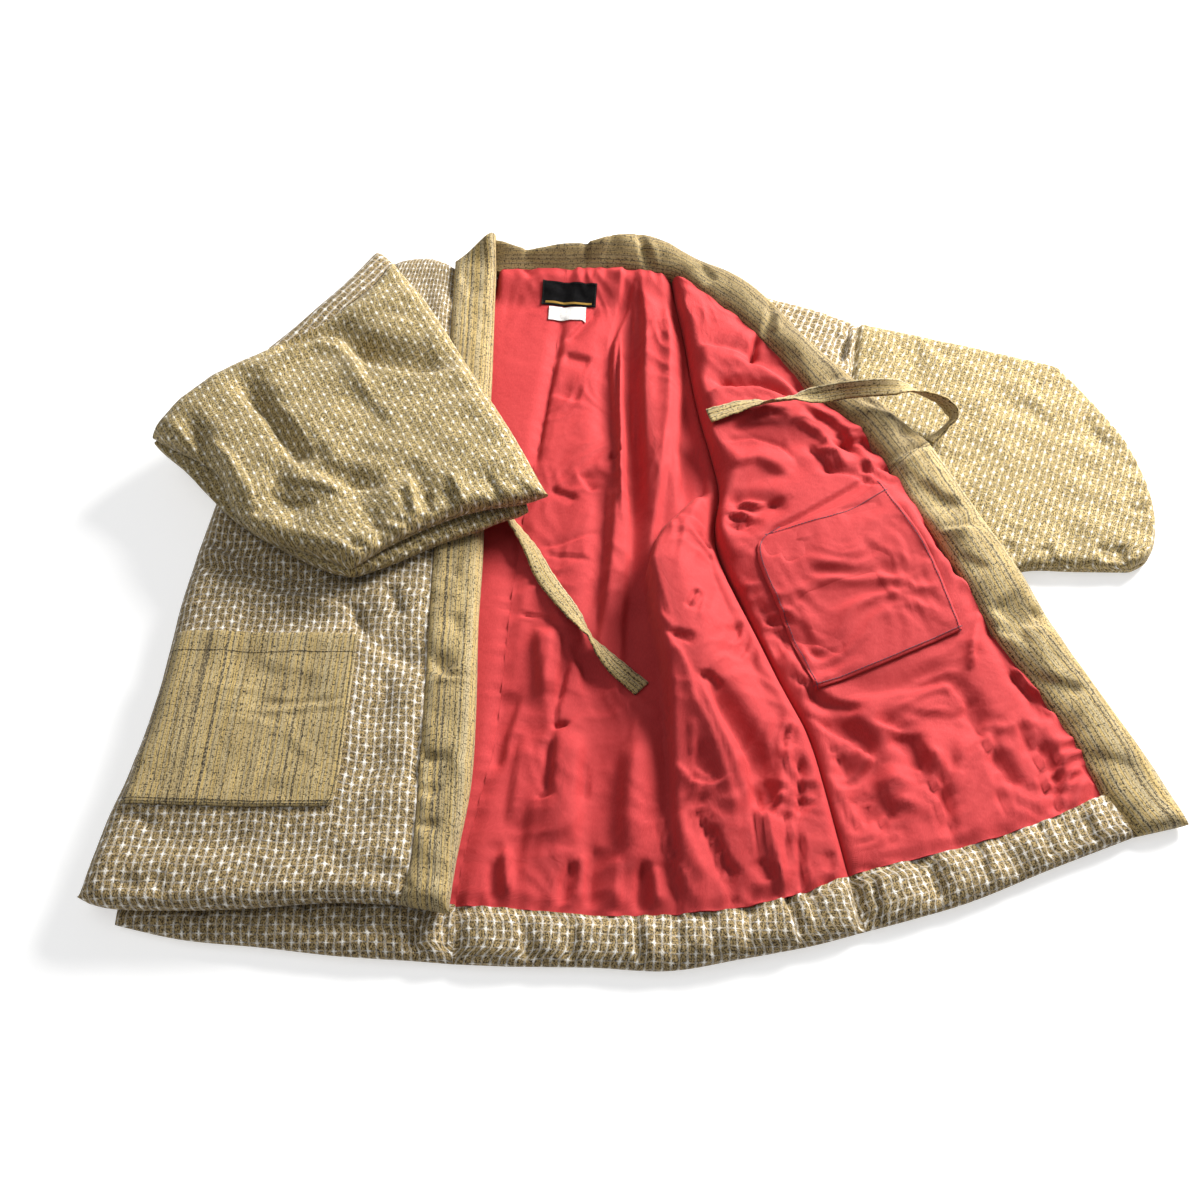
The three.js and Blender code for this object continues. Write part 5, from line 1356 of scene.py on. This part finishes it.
armhole_open = smooth(ARMHOLE)
sleeve_sides = (smooth(OPEN_SLEEVE["near"]), smooth(OPEN_SLEEVE["far"]),
                joined(smooth(OPEN_SLEEVE["under"]), armhole_open), smooth(OPEN_SLEEVE["cuff"]))
GRAIN_OPEN = dict(angle=-21.5, origin=(290, 362))
sew(Panel("sleeve_open_lower", sleeve_sides, lambda x, y, p: SLEEVE_SPLIT - SEAM_GAP + 0 * x,
          edges={"near": dict(seat=9, under=8), "far": dict(seat=9, under=9),
                 "right": dict(round=5, seat=7, under=6)}, cell=4), SLEEVE, "sleeve_check", **GRAIN_OPEN)
sleeve_open_upper = Panel("sleeve_open_upper", sleeve_sides,
    lambda x, y, p: SLEEVE_TOP + fold_height(OPEN_SLEEVE_FOLDS, x, y) + crease_height(OPEN_SLEEVE_CREASES, x, y),
    lambda x, y, p: SLEEVE_SPLIT + SEAM_GAP + 0 * x,
    {"near": dict(round=12, seat=12.5), "far": dict(round=14, seat=12.5),
     "left": dict(dent=6, over=7, gather=(20, 1.0, 12)), "right": dict(round=9, seat=15, under=4,
                                                                       gather=(26, 1.0, 16))},
    rough=(28, 0.9))
sew(sleeve_open_upper, SLEEVE, "sleeve_check", **GRAIN_OPEN)
sew(Panel("shoulder_open", (smooth(SHOULDER["near"]), smooth(SHOULDER["far"]), smooth(SHOULDER["left"]),
                            armhole_open), lambda x, y, p: SLEEVE_TOP + crease_height(SHOULDER_CREASES, x, y),
          edges={"far": dict(round=14, seat=10, under=8), "right": dict(dent=6, over=7)},
          rough=(24, 0.8)), BODY, "body_check", angle=-21.5)


# ---- pockets and labels, laid on their panels

def patch(name, sides, hosts, lift, wall, cell=2.5, swell=0.0):
    over = height_over(hosts)
    return Panel(name, sides, lambda x, y, p: over(x, y) + lift + wall + swell
                 * roll(np.minimum(np.minimum(p.away["left"], p.away["right"]),
                                   np.minimum(p.away["near"], p.away["far"])), 9), wall=wall, cell=cell)


pocket_outer = patch("pocket_outer", (smooth(OUTER_POCKET["near"]), smooth(OUTER_POCKET["far"]),
                                      smooth(OUTER_POCKET["left"]), smooth(OUTER_POCKET["right"])),
                     [front_closed], LAY_GAP, POCKET_WALL, swell=1.2)
sew(pocket_outer, STRIPE, "stripe_cloth", origin=(-330, -246), angle=-2,
    sheet=dict(flat=(0.19, 0.19), held="laid", rests_on=["front_closed"]))
pocket_inner = patch("pocket_inner", (smooth(INNER_POCKET["near"]), smooth(INNER_POCKET["far"]),
                                      smooth(INNER_POCKET["left"]), smooth(INNER_POCKET["right"])),
                     [lining_front_open], 1.2, POCKET_WALL, swell=1.6)
pocket_inner.top = pocket_inner.top + crease_height(POCKET_CREASES, pocket_inner.plan[..., 0],
                                                    pocket_inner.plan[..., 1]) * 0.5
sew(pocket_inner, RED, "lining", angle=22,
    sheet=dict(flat=(0.17, 0.19), held="laid", rests_on=["lining_front_open"]))


def label(name, place, material, slot):
    x, y, w, d, turn = (place[k] for k in ("x", "y", "width", "depth", "turn"))
    c, s = math.cos(math.radians(turn)), math.sin(math.radians(turn))

    def corner(a, b):
        return [x + a * w / 2 * c - b * d / 2 * s, y + a * w / 2 * s + b * d / 2 * c]

    def side(a, b):
        return smooth([corner(*a), corner(*b)])
    panel = patch(name, (side((-1, -1), (1, -1)), side((-1, 1), (1, 1)), side((-1, -1), (-1, 1)),
                         side((1, -1), (1, 1))), [lining_back_closed, lining_back_open],
                  LABEL_LIFT, LABEL_WALL, cell=2)
    sew(panel, material, slot, origin=(x, y), angle=turn,
        sheet=dict(flat=(w / 1000, d / 1000), held="laid", rests_on=["lining_back_closed_side"]))
    return panel


neck_label = label("label_neck", NECK_LABEL, BLACK, "label_black")
label("label_care", CARE_LABEL, WHITE, "label_white")


# ---- ties

def tie(name, rows, clear, cup=0.6):
    over = height_over([lining_back_closed, lining_back_open, lining_front_open])
    spots = np.array([[dx, dy] for dx in (-10, 0, 10) for dy in (-10, 0, 10)], float)
    path = []
    for x, y, z, lean in rows:
        ground = over(x + spots[:, 0], y + spots[:, 1]).max()
        ground += clear + (TIE_WALL + TIE_WIDTH * abs(math.sin(math.radians(lean)))) / 2
        path.append([x, y, max(z, ground), lean])
    line = smooth(path, 4, 14)
    lean = np.radians(np.interp(np.linspace(0, len(rows) - 1, len(line)), range(len(rows)), rows[:, 3]))
    at = line[:, :3]
    ahead = np.gradient(at, axis=0)
    ahead /= np.linalg.norm(ahead, axis=1)[:, None]
    side = np.cross([0, 0, 1], ahead)
    side /= np.linalg.norm(side, axis=1)[:, None]
    out = np.cross(ahead, side)
    side, out = (side * np.cos(lean)[:, None] + out * np.sin(lean)[:, None],
                 out * np.cos(lean)[:, None] - side * np.sin(lean)[:, None])
    run = arc(at)
    across = np.linspace(-1, 1, 9)
    half = TIE_WALL / 2 * np.sqrt(1 - 0.85 * across ** 6)
    points, uv = [], []
    for face in (1, -1):
        order = across if face == 1 else across[::-1]
        for a, h in zip(order, half):
            ripple = 0.5 * gathers(run, 16, 3) * a
            points.append(at + side * (a * TIE_WIDTH / 2) + out * (face * h + ripple - cup * a * a)[:, None])
            uv.append(np.stack([np.full(len(run), a * TIE_WIDTH / 2), run], 1))
    points, uv = np.stack(points, 1), np.stack(uv, 1) / 1000
    n, m = points.shape[:2]
    number = np.arange(n * m).reshape(n, m)
    nxt = np.roll(number, -1, 1)
    faces = np.stack([number[:-1], nxt[:-1], nxt[1:], number[1:]], -1).reshape(-1, 4)
    ends = [[number[k, j], number[k, j + 1], number[k, m - 2 - j], number[k, m - 1 - j]]
            for k in (0, -1) for j in range(m // 2 - 1)]
    ends = [e if i >= m // 2 - 1 else e[::-1] for i, e in enumerate(ends)]
    points = points.reshape(-1, 3)
    points[:, 0] -= MIDDLE[0]
    points[:, 1] -= MIDDLE[1]
    faces = np.vstack([faces, ends])
    mesh = mesh_of(name, points / 1000, faces, uv.reshape(-1, 2)[faces].reshape(-1, 2))
    mesh.materials.append(STRIPE)
    piece = show(name + "_strip", mesh, name)


tie("tie_open_side", TIE_OPEN, 0.9, cup=1.9)
tie("tie_closed_side", TIE_CLOSED, 0.2)


# ---- sewing

def stitch_tree(thread):
    """Nodes that set a short round stitch at even steps along every line."""
    tree = bpy.data.node_groups.new("stitch row", "GeometryNodeTree")
    face = tree.interface
    face.new_socket("Geometry", in_out="INPUT", socket_type="NodeSocketGeometry")
    for name, value in (("Step", 0.0034), ("Stitch Length", 0.0024), ("Thread Radius", 0.0003)):
        face.new_socket(name, in_out="INPUT", socket_type="NodeSocketFloat").default_value = value
    face.new_socket("Geometry", in_out="OUTPUT", socket_type="NodeSocketGeometry")

    def node(kind, **values):
        n = tree.nodes.new("GeometryNode" + kind)
        for key, value in values.items():
            if isinstance(value, bpy.types.NodeSocket):
                tree.links.new(value, n.inputs[key.replace("_", " ")])
            else:
                setattr(n, key, value)
        return n
    into, out = tree.nodes.new("NodeGroupInput"), tree.nodes.new("NodeGroupOutput")
    steps = node("ResampleCurve", mode="LENGTH", Curve=into.outputs[0], Length=into.outputs["Step"])
    body = node("MeshCylinder", Depth=into.outputs["Stitch Length"], Radius=into.outputs["Thread Radius"])
    body.inputs["Vertices"].default_value = 6
    way = node("InputTangent")
    turn = tree.nodes.new("FunctionNodeAlignEulerToVector")
    turn.axis = "Z"
    tree.links.new(way.outputs[0], turn.inputs["Vector"])
    rows = node("InstanceOnPoints", Points=steps.outputs[0], Instance=body.outputs[0],
                Rotation=turn.outputs[0])
    real = node("RealizeInstances", Geometry=rows.outputs[0])
    done = node("SetMaterial", Geometry=real.outputs[0])
    done.inputs["Material"].default_value = thread
    tree.links.new(done.outputs[0], out.inputs[0])
    return tree


def stitches(name, lines, over, thread, step=3.4, length=2.4, radius=0.3, raised=0.25):
    """Rows of stitches along plan lines, lying on the pieces below them."""
    height = height_over(over)
    curve = bpy.data.curves.new(name, "CURVE")
    curve.dimensions = "3D"
    for line in lines:
        s = arc(line)
        line = resample(line, np.linspace(0, s[-1], max(3, int(s[-1] / 3))))
        z = height(line[:, 0], line[:, 1]) + raised
        spline = curve.splines.new("POLY")
        spline.points.add(len(line) - 1)
        co = np.stack([line[:, 0] - MIDDLE[0], line[:, 1] - MIDDLE[1], z, np.full(len(z), 1000)], 1) / 1000
        spline.points.foreach_set("co", co.astype(np.float32).ravel())
    rows = bpy.data.objects.new(name, curve)
    scene.collection.objects.link(rows)
    tree = stitch_tree(thread)
    sewing = rows.modifiers.new("sewing", "NODES")
    sewing.node_group = tree
    for item in tree.interface.items_tree:
        value = {"Step": step, "Stitch Length": length, "Thread Radius": radius}.get(item.name)
        if value:
            sewing[item.identifier] = value / 1000
    bpy.context.view_layer.update()
    mesh = bpy.data.meshes.new_from_object(rows.evaluated_get(bpy.context.evaluated_depsgraph_get()))
    bpy.data.objects.remove(rows)
    show(name, mesh, None)


def thread_of(name, colour):
    thread = bpy.data.materials.new(name)
    thread.use_nodes = True
    finish = thread.node_tree.nodes["Principled BSDF"].inputs
    finish["Base Color"].default_value = (*colour, 1)
    finish["Roughness"].default_value = 0.6
    return thread


def row_on(panel, side, inset, start=0.0, end=1.0):
    """Plan line on a panel, at an inset from one side, between two shares of its length."""
    g = panel.plan if side in ("left", "right") else np.swapaxes(panel.plan, 0, 1)
    g = g if side in ("left", "near") else g[::-1]
    depth = np.linalg.norm(g - g[:1], axis=2).mean(1)
    k = int(np.searchsorted(depth, inset))
    t = (inset - depth[k - 1]) / (depth[k] - depth[k - 1])
    line = mix(g[k - 1], g[k], t)
    s = arc(line) / arc(line)[-1]
    keep = (s >= start) & (s <= end)
    return line[keep]


dark = thread_of("dark brown thread", (0.03, 0.024, 0.018))
navy = thread_of("navy thread", (0.045, 0.02, 0.045))
gold = thread_of("gold thread", (0.42, 0.25, 0.04))
stitches("outer_pocket_stitches", [
    row_on(pocket_outer, "far", 22), row_on(pocket_outer, "near", 2.2), row_on(pocket_outer, "near", 5),
    row_on(pocket_outer, "right", 2.2), row_on(pocket_outer, "left", 2.2)], [pocket_outer], dark)
stitches("inner_pocket_stitches", [
    row_on(pocket_inner, "far", 12), row_on(pocket_inner, "near", 2.8), row_on(pocket_inner, "right", 2.8),
    row_on(pocket_inner, "left", 2.8)], [pocket_inner], navy, radius=0.38, raised=0.4)
stitches("collar_piecing_stitches", [
    row_on(collar_neck, "right", 2.0), row_on(collar_open, "left", 2.0)], [collar_neck, collar_open], dark)
stitches("label_stitches", [
    row_on(neck_label, "near", 1.2), row_on(neck_label, "far", 1.2), row_on(neck_label, "left", 1.2),
    row_on(neck_label, "right", 1.2)], [neck_label], thread_of("black thread", (0.01, 0.01, 0.01)),
    step=2.6, length=1.9, radius=0.22)
stitches("label_gold_line", [row_on(neck_label, "near", inset, 0.06, 0.94) for inset in (2.6, 3.4, 4.2)],
    [neck_label], gold, step=1.2, length=1.25, radius=0.4)


# ---- floor

FLOOR_HALF, FLOOR_DROP = 6, -0.0004
floor_mesh = bpy.data.meshes.new("floor")
floor_mesh.from_pydata([(x * FLOOR_HALF, y * FLOOR_HALF, FLOOR_DROP)
                        for x, y in ((-1, -1), (1, -1), (1, 1), (-1, 1))], [], [(0, 1, 2, 3)])
floor = bpy.data.objects.new("floor", floor_mesh)
scene.collection.objects.link(floor)
paper = bpy.data.materials.new("white paper")
paper.use_nodes = True
for finish, value in (("Base Color", (0.62, 0.62, 0.62, 1)), ("Emission Color", (1, 1, 1, 1)),
                      ("Emission Strength", 0.55), ("Roughness", 0.9), ("Specular IOR Level", 0.1)):
    paper.node_tree.nodes["Principled BSDF"].inputs[finish].default_value = value
floor_mesh.materials.append(paper)
